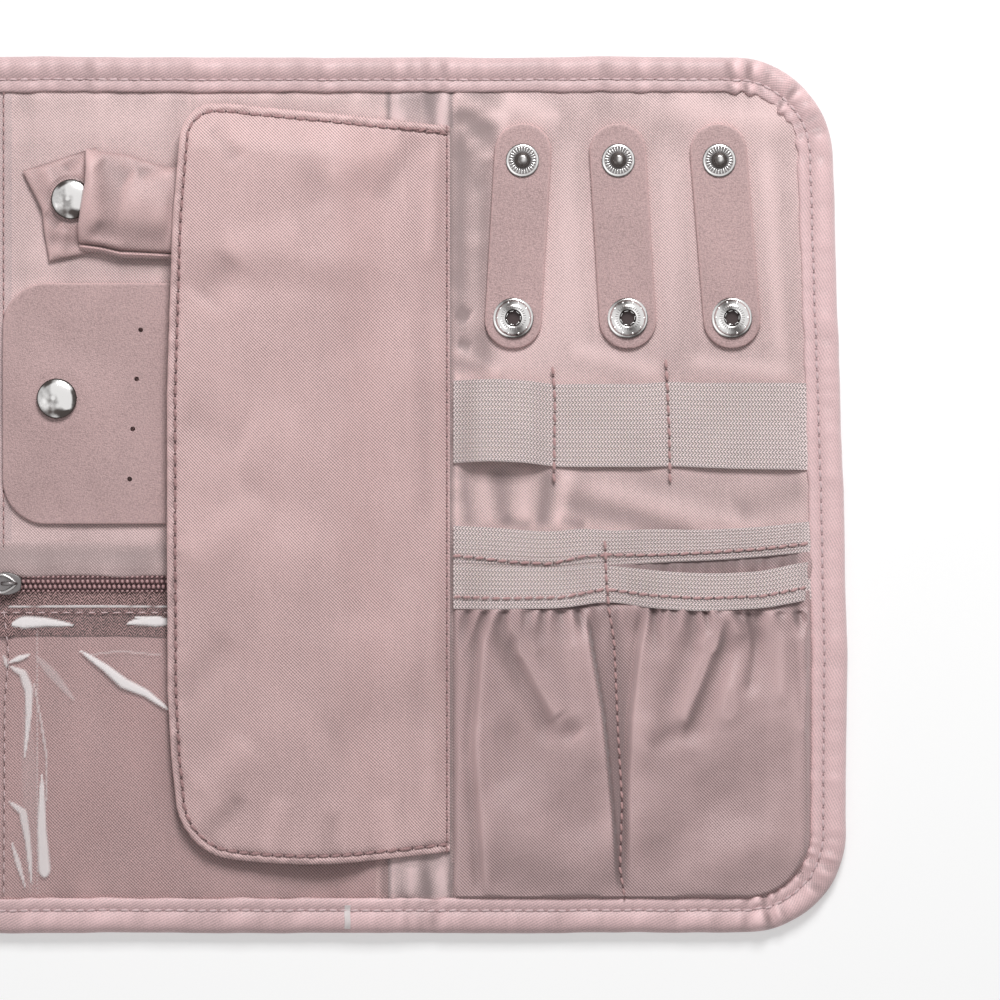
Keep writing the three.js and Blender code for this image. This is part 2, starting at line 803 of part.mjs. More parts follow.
// Necklace straps
const bendAt = -strap.snapDistance / 2;
const strapTop = liningTop + strap.thick;
strap.studShares.forEach((share, i) => {
  const group = new THREE.Group();
  group.position.set(share * rightPanel.width, insideHalfHeight - strap.studBelowEdge, 0);
  group.rotation.z = strap.tilts[i];
  rightGroup.add(group);
  const half = strap.width / 2;
  const round = half * strap.roundShare;
  const upper = outline([
    [-half, bendAt + gap.seam / 2],
    [half, bendAt + gap.seam / 2],
    [half, strap.topMargin, round],
    [-half, strap.topMargin, round],
  ]);
  const lowerEnd = -strap.snapDistance - strap.endMargin;
  const lower = outline([
    [-half, lowerEnd, round],
    [half, lowerEnd, round],
    [half, bendAt - gap.seam / 2],
    [-half, bendAt - gap.seam / 2],
  ]);
  const stud = turned(studSection(snap.plateThick, snap.postHeight)).translate([0, 0, strapTop]);
  const socket = turned(socketSection(snap.socketHeight));
  const number = i + 1;
  addPiece(group, `strap_anchor_${number}`, plate(upper, liningTop, strapTop), finishes.leather());
  addPiece(group, `strap_stud_${number}`, stud, finishes.nickel());
  addPiece(group, `strap_tongue_${number}`, plate(lower, liningTop, strapTop), finishes.leather());
  const socketPlace = socket.translate([0, -strap.snapDistance, strapTop]);
  addPiece(group, `strap_socket_${number}`, socketPlace, finishes.nickel());
});

// Elastic bands: flat at their seams and standing up between them
const bandLeft = gap.running;
const bandRight = rightPanel.width - binding.width - gap.running;
function elasticBand(stops, rises, low, bottom, top, thick) {
  const columns = facets.archSteps * (stops.length - 1);
  return sheet(columns, 1, (u, v, side) => {
    const rise = rises[Math.min(Math.floor(u * rises.length), rises.length - 1)];
    const z = low + rise * arch(stops, u) + side * thick;
    return [along(stops, u), THREE.MathUtils.lerp(bottom, top, v), z];
  });
}
const loopStops = [bandLeft, ...loops.divisionShares.map((s) => s * rightPanel.width), bandRight];
const loopRises = [loops.firstRise, loops.otherRise, loops.otherRise];
const loopTop = insideHalfHeight - loops.belowEdge;
const loopBottom = loopTop - loops.bandWidth;
const loopLow = liningTop + gap.running;
const loopBand = elasticBand(loopStops, loopRises, loopLow, loopBottom, loopTop, loops.bandThick);
addPiece(rightGroup, "wide_elastic_band", loopBand, finishes.elastic());

// Gathered pockets
const pocketBottom = gap.running - insideHalfHeight;
const rearTop = loopBottom - pockets.belowLoops;
const rearBottom = rearTop - pockets.elasticWidth;
const frontTop = rearBottom - gap.running;
const frontBottom = frontTop - pockets.elasticWidth;
const clothTop = frontBottom - gap.running;
const rearClothTop = liningTop + pockets.clothThick;
const frontLow = rearClothTop + gap.running;
const dividerTop = pockets.dividerTopShare * rightPanel.width;
const dividerBottom = pockets.dividerBottomShare * rightPanel.width;
const mouthStops = [bandLeft, dividerTop, bandRight];
const mouthBand = (rise, low, top) =>
  elasticBand(mouthStops, [rise, rise], low, top - pockets.elasticWidth, top, pockets.elasticThick);
const rearElastic = mouthBand(pockets.rearRise, liningTop + gap.running, rearTop);
addPiece(rightGroup, "rear_pocket_elastic", rearElastic, finishes.elastic());
const frontElastic = mouthBand(pockets.frontRise, frontLow, frontTop);
addPiece(rightGroup, "front_pocket_elastic", frontElastic, finishes.elastic());

const pocketRadius = roll.cornerRadius - binding.width - gap.running;
const pocketShape = outline([
  [bandLeft, pocketBottom],
  [bandRight, pocketBottom, pocketRadius],
  [bandRight, frontTop],
  [bandLeft, frontTop],
]);
const rearCloth = plate(pocketShape, liningTop, rearClothTop);
addPiece(rightGroup, "rear_pocket_cloth", rearCloth, finishes.pocketSatin());

// The front cloth is fullest at its mouth and falls in folds to its hem
function frontFullness(stops, u, v) {
  const within = (u * (stops.length - 1)) % 1;
  const hem = smooth(v / pockets.hemShare);
  const full = hem * THREE.MathUtils.lerp(pockets.bottomFullnessShare, 1, v);
  const folds = 0.5 - Math.cos(within * pockets.foldsPerPocket * 2 * Math.PI) / 2;
  return arch(stops, u) * full * (pockets.frontRise - pockets.foldDepth * folds);
}
const frontSheet = sheet(2 * facets.clothSteps, facets.clothSteps, (u, v, side) => {
  const divider = THREE.MathUtils.lerp(dividerBottom, dividerTop, v);
  const stops = [bandLeft, divider, bandRight];
  const z = frontLow + frontFullness(stops, u, v) + side * pockets.clothThick;
  return [along(stops, u), THREE.MathUtils.lerp(pocketBottom, clothTop, v), z];
});
const frontCloth = frontSheet.intersect(plate(pocketShape, 0, roll.height));
addPiece(rightGroup, "front_pocket_cloth", frontCloth, finishes.pocketSatin());

// Wide spine and left panel, with a zipped clear pocket over most of its height
const leftSpineGroup = panelGroup(-leftSpine.width);
spinePanel(leftSpineGroup, "left_spine", leftSpine.width);
const leftGroup = panelGroup(leftPanelX);
paddedPanel(leftGroup, "left", leftPanelWidth, true, false);
const leftZipStart = binding.width + leftZip.sideMargin;
const leftZipEnd = leftPanelWidth - zip.endMargin;
const leftCoilY = halfHeight - leftZip.belowEdge;
const leftZipParts = zipPieces(leftZipStart, leftZipEnd, leftCoilY);
const leftZipper = leftZipParts.upper.add(leftZipParts.lower).add(leftZipParts.coil);
addPiece(leftGroup, "left_zipper", leftZipper, finishes.tape());
const leftWindow = clearWindow(leftZipStart, leftZipEnd, leftCoilY, true);
addPiece(leftGroup, "left_pocket_window", leftWindow, finishes.clearSheet());
addPiece(leftGroup, "left_zipper_slider", slider(leftZipStart, leftCoilY), finishes.nickel());
addPiece(leftGroup, "left_zipper_pull", wirePull(leftZipStart, leftCoilY), finishes.nickel());

// Closing strap and its socket
const strapHigh = foldLevel - closure.strapDrop;
const halfStrap = closure.strapWidth / 2;
const closingShape = rectangle(
  -closureReachOut,
  -gap.seam,
  -halfStrap,
  halfStrap,
  halfStrap * strap.roundShare,
);
const closingStrap = plate(closingShape, strapHigh - closure.strapThick, strapHigh);
addPiece(leftGroup, "closing_strap", closingStrap, finishes.leather());
const closingSocket = turned(socketSection(closure.socketHeight))
  .translate([-closureSocketAt, 0, strapHigh]);
addPiece(leftGroup, "closing_strap_socket", closingSocket, finishes.nickel());

export default root;
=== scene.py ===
# %% [markdown]
# # A jewelry roll, lying open
#
# This lesson dresses a padded jewelry roll in Blender. The imported CAD model is the fixed frame: it
# says where every panel, snap and hinge is. Each soft piece is built again here as cloth, leather or
# vinyl, in millimetres, and many are put on the CAD body that carries them.

# %% Imports and the fixed frame
import json
import math

import bmesh
import bpy
import numpy as np
from mathutils import Matrix, Vector


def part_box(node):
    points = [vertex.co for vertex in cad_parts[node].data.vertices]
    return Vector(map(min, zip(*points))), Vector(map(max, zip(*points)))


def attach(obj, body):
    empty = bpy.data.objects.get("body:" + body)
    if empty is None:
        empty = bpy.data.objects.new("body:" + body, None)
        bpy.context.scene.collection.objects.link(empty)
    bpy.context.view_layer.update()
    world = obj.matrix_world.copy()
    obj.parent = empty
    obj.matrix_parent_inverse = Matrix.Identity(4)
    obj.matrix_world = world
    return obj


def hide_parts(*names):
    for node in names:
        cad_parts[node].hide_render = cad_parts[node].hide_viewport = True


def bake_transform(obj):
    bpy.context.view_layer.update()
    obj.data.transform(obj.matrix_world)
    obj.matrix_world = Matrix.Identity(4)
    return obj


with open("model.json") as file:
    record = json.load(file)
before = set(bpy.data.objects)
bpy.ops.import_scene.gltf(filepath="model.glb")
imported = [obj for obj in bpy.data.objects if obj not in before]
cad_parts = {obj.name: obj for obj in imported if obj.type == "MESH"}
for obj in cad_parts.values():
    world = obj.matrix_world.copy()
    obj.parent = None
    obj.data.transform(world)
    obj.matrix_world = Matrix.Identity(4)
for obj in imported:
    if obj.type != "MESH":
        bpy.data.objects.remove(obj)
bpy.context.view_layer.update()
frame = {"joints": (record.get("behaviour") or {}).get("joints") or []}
scene = bpy.context.scene
scene.view_settings.view_transform = "Standard"
MM = 0.001
JOINTS = {joint["name"]: joint for joint in frame["joints"]}


def lowest(node):
    """The lowest corner of a CAD node, in millimetres."""
    return np.array(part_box(node)[0]) / MM


def highest(node):
    """The highest corner of a CAD node, in millimetres."""
    return np.array(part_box(node)[1]) / MM


def hinge(joint):
    """The point that a joint turns about, in millimetres."""
    return np.array(JOINTS[joint]["pos_m"]) / MM


# %% [markdown]
# The frame gives the places that every cloth layer shares: the seams where the panels turn, the
# outline, and the levels of the cover, the lining and the binding. Naming them once keeps the layers
# together, because each piece below asks for a seam or a level and never for a bare number.

# %% Seams, edges and levels
LEFT_EDGE = lowest("binding_left")[0]
RIGHT_EDGE = highest("binding_right")[0]
TOP_EDGE = highest("binding_right")[1]
BOTTOM_EDGE = lowest("binding_right")[1]
LEFT_PANEL_SEAM = hinge("left_panel_fold")[0]
MIDDLE_LEFT_SEAM = hinge("left_spine_fold")[0]
MIDDLE_RIGHT_SEAM = hinge("right_spine_fold")[0]
RIGHT_PANEL_SEAM = hinge("right_panel_fold")[0]
FOLD_LEVEL = hinge("right_spine_fold")[2]
LINING_LEVEL = highest("lining_middle")[2]
LINING_LOW = lowest("lining_middle")[2]
COVER_TOP = highest("outer_cover_middle")[2]
SPINE_LOW = lowest("right_spine_cloth")[2]
BINDING_WIDTH = TOP_EDGE - highest("lining_middle")[1]
CORNER_RADIUS = 28
CLEARANCE = 0.3
LEFT_SPINE_CENTRE = (LEFT_PANEL_SEAM + MIDDLE_LEFT_SEAM) / 2
MIDDLE_CENTRE = (MIDDLE_LEFT_SEAM + MIDDLE_RIGHT_SEAM) / 2
RIGHT_SPINE_CENTRE = (MIDDLE_RIGHT_SEAM + RIGHT_PANEL_SEAM) / 2
print("open width", round(RIGHT_EDGE - LEFT_EDGE, 1), "mm, height", round(TOP_EDGE - BOTTOM_EDGE, 1), "mm")

# %% [markdown]
# Creases, dimples and stitch lines are placed by where the picture shows them. `at` turns a picture
# point, in a frame of 1000 by 1000, into millimetres on the open roll. The scale is a size of the
# real object, and the roll's right and top edges tie the picture to the frame.

# %% From the picture to the roll
PIXEL = 0.285
PICTURE_MIDDLE = 500
PICTURE_RIGHT_EDGE = 843
PICTURE_TOP_EDGE = 56.4
VIEW_X = RIGHT_EDGE - (PICTURE_RIGHT_EDGE - PICTURE_MIDDLE) * PIXEL
VIEW_Y = TOP_EDGE - (PICTURE_MIDDLE - PICTURE_TOP_EDGE) * PIXEL


def at(px, py):
    """A picture point as x and y in millimetres."""
    return VIEW_X + (px - PICTURE_MIDDLE) * PIXEL, VIEW_Y - (py - PICTURE_MIDDLE) * PIXEL


def at_x(px):
    """A picture column as x."""
    return at(px, 0)[0]


def at_y(py):
    """A picture row as y."""
    return at(0, py)[1]


def picture_x(x):
    """The picture column of an x."""
    return PICTURE_MIDDLE + (x - VIEW_X) / PIXEL


# %% [markdown]
# The camera looks straight down from far above, as in the picture, so that the panels keep their
# true outline. A long lens covers exactly the picture's width at the level of the lining.

# %% The camera
CAMERA_HEIGHT = 1.5
SENSOR = 36
CLIP_START = 0.1
camera = bpy.data.objects.new("camera", bpy.data.cameras.new("camera"))
scene.collection.objects.link(camera)
camera.location = (VIEW_X * MM, VIEW_Y * MM, CAMERA_HEIGHT)
camera.data.sensor_width = SENSOR
view_width = 2 * PICTURE_MIDDLE * PIXEL * MM
camera.data.lens = SENSOR * (CAMERA_HEIGHT - FOLD_LEVEL * MM) / view_width
camera.data.clip_start = CLIP_START
scene.camera = camera
print("lens", round(camera.data.lens, 1), "mm")
# %% [markdown]
# ## Materials as expressions
#
# A weave is arithmetic on coordinates, and arithmetic reads best as Python. `Value` wraps a socket
# and turns `+`, `-` and `*` into Math nodes. `Finish` starts a material, hands out coordinates in
# millimetres, and ties the results to the shader, so that each finish below is a few lines of sums.


# %% The socket class
class Value:
    """One socket of a material's nodes, with Python's operators."""

    def __init__(self, finish, socket):
        self.finish = finish
        self.socket = socket

    def maths(self, operation, first, second=None):
        """A Math node on one or two values."""
        values = {"Value": first}
        if second is not None:
            values["Value_001"] = second
        return self.finish.node("ShaderNodeMath", {"operation": operation}, values)

    def __add__(self, other):
        return self.maths("ADD", self, other)

    def __radd__(self, other):
        return self.maths("ADD", other, self)

    def __sub__(self, other):
        return self.maths("SUBTRACT", self, other)

    def __rsub__(self, other):
        return self.maths("SUBTRACT", other, self)

    def __mul__(self, other):
        return self.maths("MULTIPLY", self, other)

    def __rmul__(self, other):
        return self.maths("MULTIPLY", other, self)

    def __truediv__(self, other):
        return self.maths("DIVIDE", self, other)

    def __pow__(self, other):
        return self.maths("POWER", self, other)

    def __abs__(self):
        return self.maths("ABSOLUTE", self)

    def wave(self, pitch):
        """A sine from -1 to 1 that repeats every pitch millimetres."""
        return self.maths("SINE", self * (2 * math.pi / pitch))

    def ramp(self, low, high):
        """0 below low, 1 above high and smooth between them."""
        settings = {"interpolation_type": "SMOOTHSTEP"}
        values = {"Value": self, "From Min": low, "From Max": high}
        return self.finish.node("ShaderNodeMapRange", settings, values)


# %% The material class
def linear(red, green, blue):
    """A colour given as it looks on a screen, from 0 to 255, as Blender's linear colour."""
    shares = [value / 255 for value in (red, green, blue)]
    return (*[s / 12.92 if s <= 0.04045 else ((s + 0.055) / 1.055) ** 2.4 for s in shares], 1.0)


def shades(tone, dark, light):
    """A tone's dark and light shade, each a share of it."""
    return [linear(*[min(255, value * share) for value in tone]) for share in (dark, light)]


def socket_of(sockets, key):
    """The socket with that identifier, or else with that name or number."""
    for socket in sockets:
        if socket.identifier == key:
            return socket
    return sockets[key]


class Finish:
    """A material whose values are worked out with Value objects."""

    def __init__(self, name, roughness=0.6, metallic=0.0, sheen=0.0, specular=0.5):
        self.material = bpy.data.materials.new(name)
        self.material.use_nodes = True
        self.tree = self.material.node_tree
        self.tree.nodes.clear()
        self.output = self.tree.nodes.new("ShaderNodeOutputMaterial")
        self.shader = self.tree.nodes.new("ShaderNodeBsdfPrincipled")
        self.tree.links.new(self.shader.outputs[0], self.output.inputs[0])
        constants = {"Roughness": roughness, "Metallic": metallic, "Specular IOR Level": specular,
                     "Sheen Weight": sheen}
        for key, value in constants.items():
            self.shader.inputs[key].default_value = value

    def put(self, socket, value):
        """Links a Value to a socket, or sets the socket to a constant."""
        if isinstance(value, Value):
            self.tree.links.new(value.socket, socket)
        else:
            socket.default_value = value

    def node(self, kind, settings=None, values=None, result=0):
        """Adds a node with its settings, then its values or links, and gives one of its outputs."""
        made = self.tree.nodes.new(kind)
        for key, value in (settings or {}).items():
            setattr(made, key, value)
        for key, value in (values or {}).items():
            self.put(socket_of(made.inputs, key), value)
        return Value(self, socket_of(made.outputs, result) if result else made.outputs[0])

    def places(self, attribute=None):
        """x, y and z in millimetres: the object's own coordinates, or its UV map's."""
        if attribute == "UV":
            source = self.node("ShaderNodeUVMap", {"uv_map": "run"})
        else:
            source = self.node("ShaderNodeTexCoord", result="Object")
        values = {"Vector": source, "Scale": 1 / MM}
        scaled = self.node("ShaderNodeVectorMath", {"operation": "SCALE"}, values)
        parts = self.tree.nodes.new("ShaderNodeSeparateXYZ")
        self.put(parts.inputs[0], scaled)
        self.vector = scaled
        return [Value(self, output) for output in parts.outputs]

    def painted(self, name):
        """A value that Python wrote on the mesh's points."""
        return self.node("ShaderNodeAttribute", {"attribute_name": name}, result="Fac")

    def noise(self, size, detail=2.0, stretch=None):
        """Soft noise from 0 to 1 whose lumps are about size millimetres."""
        vector = self.vector
        if stretch:
            values = {"Vector": vector, "Vector_001": stretch}
            vector = self.node("ShaderNodeVectorMath", {"operation": "MULTIPLY"}, values)
        values = {"Vector": vector, "Scale": 1 / size, "Detail": detail}
        return self.node("ShaderNodeTexNoise", {}, values)

    def mix(self, share, first, second):
        """A colour between two others."""
        values = {"Factor_Float": share, "A_Color": first, "B_Color": second}
        return self.node("ShaderNodeMix", {"data_type": "RGBA"}, values, result="Result_Color")

    def colour(self, value):
        self.put(self.shader.inputs["Base Color"], value)

    def roughness(self, value):
        self.put(self.shader.inputs["Roughness"], value)

    def relief(self, height, strength=0.5, depth=0.1):
        """Bump from a height of 0 to 1 that stands for depth millimetres."""
        values = {"Height": height, "Strength": strength, "Distance": depth * MM}
        self.put(self.shader.inputs["Normal"], self.node("ShaderNodeBump", {}, values))


print("material helpers ready")
# %% [markdown]
# ## The finishes
#
# Nylon twill shows as fine diagonal threads with a soft, cloudy shine. One function makes every
# woven cloth here: two crossed sets of fine waves for the threads, slow noise for the cloudiness,
# and a bump from the same threads. The colours are written as they look, and the light is plain
# enough that they come out so.


# %% Woven cloth
SLOPE_SHINE = 0.42
HOLLOW_SHADE = 0.50


def woven(name, tone, pitch=0.8, slant=1.0, roughness=0.5, sheen=0.15, contrast=0.30, along=None, cross=0.45,
          depth=0.16):
    """Twill or satin: pitch is the distance between its threads in millimetres."""
    cloth = Finish(name, roughness, 0.0, sheen, 0.35)
    x, y, _ = cloth.places(along)
    drift = cloth.noise(14.0, 1.0)
    warp = (x * slant + y + drift).wave(pitch)
    weft = (x - y * slant + drift).wave(pitch * 1.13)
    threads = warp * (1 - cross) + weft * cross
    slub = cloth.noise(2.2, 3.0, (1.0, 0.25, 1.0))
    cloud = cloth.noise(38.0, 2.0)
    fibre = cloth.noise(0.42, 2.0)
    shade = threads * contrast + (slub - 0.5) * 0.14 + (cloud - 0.5) * 0.20 + (fibre - 0.5) * 0.5
    # Painted sheen and shade written on the mesh: lighter where a fold faces left, darker where it faces
    # right, and darker in hollows.
    shade = shade + cloth.painted("slope") * SLOPE_SHINE - cloth.painted("hollow") * HOLLOW_SHADE
    cloth.colour(cloth.mix((shade + 0.54).ramp(0.0, 1.0), *shades(tone, 0.74, 1.18)))
    cloth.roughness((cloud - 0.5) * 0.15 + roughness)
    cloth.relief(threads * 0.4 + slub * 0.3 + fibre * 0.3, 0.5, depth)
    return cloth


outer_cloth = woven("outer_nylon", (203, 170, 168), 0.9, roughness=0.6)
lining_cloth = woven("lining_twill", (202, 176, 175), 0.85, roughness=0.5, contrast=0.36, cross=0.32)
flap_cloth = woven("flap_twill", (196, 166, 165), 0.90, roughness=0.52, contrast=0.52, cross=0.25)
pocket_cloth = woven("pocket_satin", (174, 148, 148), 0.90, 1.0, 0.42, 0.3, 0.62, cross=0.25)
spine_cloth = woven("spine_satin", (190, 167, 167), 0.7, 0.6, 0.42, 0.3, 0.24)
bar_cloth = woven("ring_bar_satin", (184, 155, 154), 0.85, 1.0, 0.42, 0.3, 0.38, cross=0.3)
binding_cloth = woven("binding_satin", (211, 180, 181), 0.85, 0.55, 0.45, 0.3, 0.13, "UV", 0.2, 0.08)

# %% [markdown]
# Thread is twisted, so a stitch shows small slanted plies. The topstitching is a deeper rose than
# the cloth, except round the binding, where it is almost as pale as the satin.


# %% Thread
def thread(name, tone):
    """Twisted thread with slanted plies."""
    finish = Finish(name, 0.55, 0.0, 0.3, 0.3)
    x, y, _ = finish.places()
    ply = (x + y * 0.7).wave(0.32)
    finish.colour(finish.mix(ply * 0.35 + 0.5, *shades(tone, 0.8, 1.0)))
    finish.relief(ply, 0.4, 0.05)
    return finish


rose_thread = thread("rose_thread", (176, 138, 138))
pale_thread = thread("pale_thread", (228, 200, 202))
dusty_thread = thread("dusty_thread", (204, 163, 162))
# The stitch holes are painted shade: dark beads where the thread enters the cloth, paler round the binding.
stitch_hole_shade = thread("stitch_hole_shade", (108, 78, 80))
pale_stitch_hole_shade = thread("pale_stitch_hole_shade", (192, 160, 162))

# %% [markdown]
# Leatherette is embossed with a fine pebble grain: cells from a Voronoi texture, softened by noise.
# It is darker in the valleys of the grain, and a little paler along its edges, where the mesh is painted.


# %% Leatherette
def leather_finish(name, tone):
    """Pebbled leatherette, paler where the mesh is painted near an edge."""
    leather = Finish(name, 0.55, 0.0, 0.08, 0.4)
    leather.places()
    grain = leather.node("ShaderNodeTexVoronoi", {"feature": "SMOOTH_F1"},
                         {"Vector": leather.vector, "Scale": 2.5, "Smoothness": 0.25})
    pores = leather.noise(0.38, 3.0)
    cloud = leather.noise(22.0, 2.0)
    edge = leather.painted("edge")
    shade = 0.66 - grain * 0.42 + (pores - 0.5) * 0.75 + (cloud - 0.5) * 0.3 + edge * 0.35
    leather.colour(leather.mix(shade.ramp(0.0, 1.0), *shades(tone, 0.80, 1.12)))
    leather.roughness((cloud - 0.5) * 0.2 + 0.55)
    leather.relief(pores * 0.6 - grain, 0.8, 0.13)
    return leather


leather_cloth = leather_finish("leatherette", (190, 160, 159))

# %% [markdown]
# Woven elastic is a row of raised ribs, each knitted as a chain of small slanted loops. The ribs
# themselves are in the mesh. Here the loops are a zigzag: the height of a wave along the band,
# shifted by the place across it, so that the marks lean one way and then the other.


# %% Elastic
def elastic_finish(name, tone, rib):
    """Ribbed elastic: rib is the width of one rib in millimetres."""
    elastic = Finish(name, 0.75, 0.0, 0.25, 0.25)
    u, v, _ = elastic.places("UV")
    place = (v / rib).wave(1.0)
    lean = abs(v.maths("PINGPONG", v, rib / 2))
    loops = (u + lean * 1.1).wave(0.92)
    rows = (v / rib).wave(0.5)
    marks = (loops * 0.5 + 0.5) ** 2.0
    valley = (place * -1.0).ramp(0.1, 0.95)
    fuzz = elastic.noise(0.3, 2.0)
    cloud = elastic.noise(25.0, 2.0)
    shade = 0.99 - marks * 0.84 - valley * 0.36 + rows * 0.10 + (fuzz - 0.5) * 0.4 + (cloud - 0.5) * 0.2
    elastic.colour(elastic.mix(shade.ramp(0.0, 1.0), *shades(tone, 0.52, 1.20)))
    elastic.relief(loops * 0.5 + fuzz * 0.2, 0.5, 0.15)
    return elastic


ELASTIC_RIB = 1.37
elastic_cloth = elastic_finish("woven_elastic", (206, 191, 190), ELASTIC_RIB)

# %% [markdown]
# The zipper's tape is woven in a herringbone: diagonal lines that turn round every few millimetres.
# The coil is plain nylon with a soft shine, and foam only shows if a seam ever opens.


# %% Tape, coil and foam
def tape_finish(name, tone):
    """Herringbone tape with a loose fuzz."""
    tape = Finish(name, 0.7, 0.0, 0.2, 0.3)
    x, y, _ = tape.places()
    turn = x.maths("PINGPONG", x, 1.5)
    lines = (turn * 1.2 + y).wave(0.9)
    yarns = (turn * 1.2 + y + x * 6).wave(1.8)
    cloud = tape.noise(8.0, 2.0)
    fuzz = tape.noise(0.6, 2.0)
    shade = lines * 0.40 + yarns * 0.20 + 0.46 + (cloud - 0.5) * 0.3 + (fuzz - 0.5) * 1.5
    tape.colour(tape.mix(shade.ramp(0.0, 1.0), *shades(tone, 0.34, 1.50)))
    tape.relief(lines * 0.5 + fuzz, 0.8, 0.2)
    return tape


def plain_finish(name, tone, roughness, metallic=0.0, size=2.0, spread=0.08, depth=0.03):
    """A finish with only a slight mottle, for nylon, foam and metal."""
    plain = Finish(name, roughness, metallic, 0.0, 0.5)
    plain.places()
    mottle = plain.noise(size, 3.0)
    plain.colour(plain.mix(mottle, *shades(tone, 1 - spread, 1.0)))
    plain.roughness((mottle - 0.5) * 0.12 + roughness)
    plain.relief(mottle, 0.25, depth)
    return plain


zip_tape = tape_finish("zipper_tape", (134, 108, 107))
coil_nylon = plain_finish("coil_nylon", (182, 144, 145), 0.32)
# Painted shade: the tape under the coil is given this dark finish.
coil_shade = plain_finish("coil_shade", (88, 64, 66), 0.8)
foam_white = plain_finish("white_foam", (232, 228, 220), 0.9, size=1.0, depth=0.3)
# Bright nickel's strong mottle is painted reflection, darker blotches in its colour; it also varies the
# roughness.
nickel = plain_finish("bright_nickel", (196, 193, 192), 0.20, 1.0, 2.6, 0.30, 0.03)
nickel_dark = plain_finish("nickel_in_shade", (120, 116, 116), 0.35, 1.0, 3.0)
nickel_bright = plain_finish("nickel_highlights", (232, 230, 229), 0.18, 1.0, 2.0, 0.1, 0.01)
# Painted shade: the dark finish inside a socket's mouth.
mouth_shade = plain_finish("mouth_shade", (64, 52, 52), 0.5, 0.4)
raw_edge = plain_finish("raw_edge", (232, 222, 222), 0.8, 0.0, 0.6, 0.12, 0.1)
window_cloth = woven("window_lining", (184, 155, 154), 0.90, roughness=0.5, contrast=0.62, cross=0.30)

# %% [markdown]
# A polished cap is brightest on one side and dark at its middle and round its rim, where it mirrors
# a dark room. These reflections are painted on the mesh, and the finish turns them into a darker metal.


# %% Nickel with painted reflections
def cap_finish(name):
    """Polished nickel that turns dark where the mesh is painted with reflection and shade."""
    cap = Finish(name, 0.16, 1.0, 0.0, 0.5)
    cap.places()
    reflection_and_shade = cap.painted("reflection_and_shade")
    mottle = cap.noise(1.4, 2.0)
    share = (reflection_and_shade + (mottle - 0.5) * 0.4).ramp(0.1, 0.9)
    cap.colour(cap.mix(share, linear(226, 224, 223), linear(74, 68, 66)))
    cap.roughness(reflection_and_shade * 0.14 + 0.14)
    return cap


cap_nickel = cap_finish("cap_nickel")

# %% [markdown]
# The pocket windows are thin clear vinyl. Most light passes straight through, and what the eye
# catches is the gloss and the light along its creases. So a Mix Shader joins a transparent shader with a
# glossy white one, and its factor is a low share that rises where glints, painted highlights, lie on the
# mesh.


# %% Clear vinyl
def vinyl_finish(name):
    """Thin clear vinyl, turned white where the mesh is painted with glints, which are painted highlights."""
    vinyl = Finish(name, 0.08, 0.0, 0.0, 0.6)
    vinyl.places()
    glints = vinyl.painted("glint")
    cloud = vinyl.noise(18.0, 2.0)
    vinyl.colour(linear(250, 244, 244))
    vinyl.relief(cloud, 0.12, 0.4)
    clear = vinyl.node("ShaderNodeBsdfTransparent", {}, {"Color": linear(251, 249, 249)})
    share = 0.03 + glints * 0.85 + (cloud - 0.5) * 0.04
    sheet = Value(vinyl, vinyl.shader.outputs[0])
    mixed = vinyl.node("ShaderNodeMixShader", {}, {"Fac": share, "Shader": clear, "Shader_001": sheet})
    vinyl.tree.links.new(mixed.socket, vinyl.output.inputs[0])
    return vinyl


clear_vinyl = vinyl_finish("clear_vinyl")
print(len(bpy.data.materials), "materials")
# %% [markdown]
# ## Cloth from height functions
#
# Every layer here lies nearly flat, so a layer is a grid of x and y with a height for each point.
# The heights are sums: the level from the frame, a rolled edge, and creases laid where the picture
# shows them. A soft random field made of a few seeded waves gives the rest of the unevenness.


# %% Heights and creases
FIELD_WAVES = 14


def smooth(share):
    """A soft step from 0 to 1."""
    share = np.clip(share, 0.0, 1.0)
    return share * share * (3 - 2 * share)


def bell(offset, reach):
    """1 at 0, fading softly to both sides over reach."""
    return np.exp(-((offset / reach) ** 2))


def blend_between(first, second, share):
    """The value at that share of the way from first to second."""
    return first + (second - first) * share


def field(x, y, size, seed, stretch=(1.0, 1.0)):
    """A smooth random height from about -1 to 1, with lumps of the given size in millimetres."""
    random = np.random.default_rng(seed)
    total = np.zeros(np.broadcast(x, y).shape)
    for _ in range(FIELD_WAVES):
        angle = random.uniform(0, 2 * math.pi)
        length = size * random.uniform(0.7, 1.6)
        phase = random.uniform(0, 2 * math.pi)
        run = x * stretch[0] * math.cos(angle) + y * stretch[1] * math.sin(angle)
        total = total + np.cos(2 * math.pi * run / length + phase)
    return total / math.sqrt(2 * FIELD_WAVES)


def crease(x, y, start, end, width, height, skew=1.0):
    """A ridge, or a valley if height is negative, from start to end; skew widens its left side."""
    start = np.array(start, float)
    run = np.array(end, float) - start
    length = np.hypot(*run)
    along = ((x - start[0]) * run[0] + (y - start[1]) * run[1]) / length**2
    across = ((x - start[0]) * -run[1] + (y - start[1]) * run[0]) / length
    side = np.where(across > 0, width * skew, width)
    ends = smooth((along + 0.12) / 0.24) * smooth((1.12 - along) / 0.24)
    return height * bell(across, side) * ends


def creases(x, y, rows):
    """The sum of creases given as picture points: start, end, width, height and maybe skew."""
    total = np.zeros(np.broadcast(x, y).shape)
    for start, end, *shape in rows:
        total = total + crease(x, y, at(*start), at(*end), *shape)
    return total


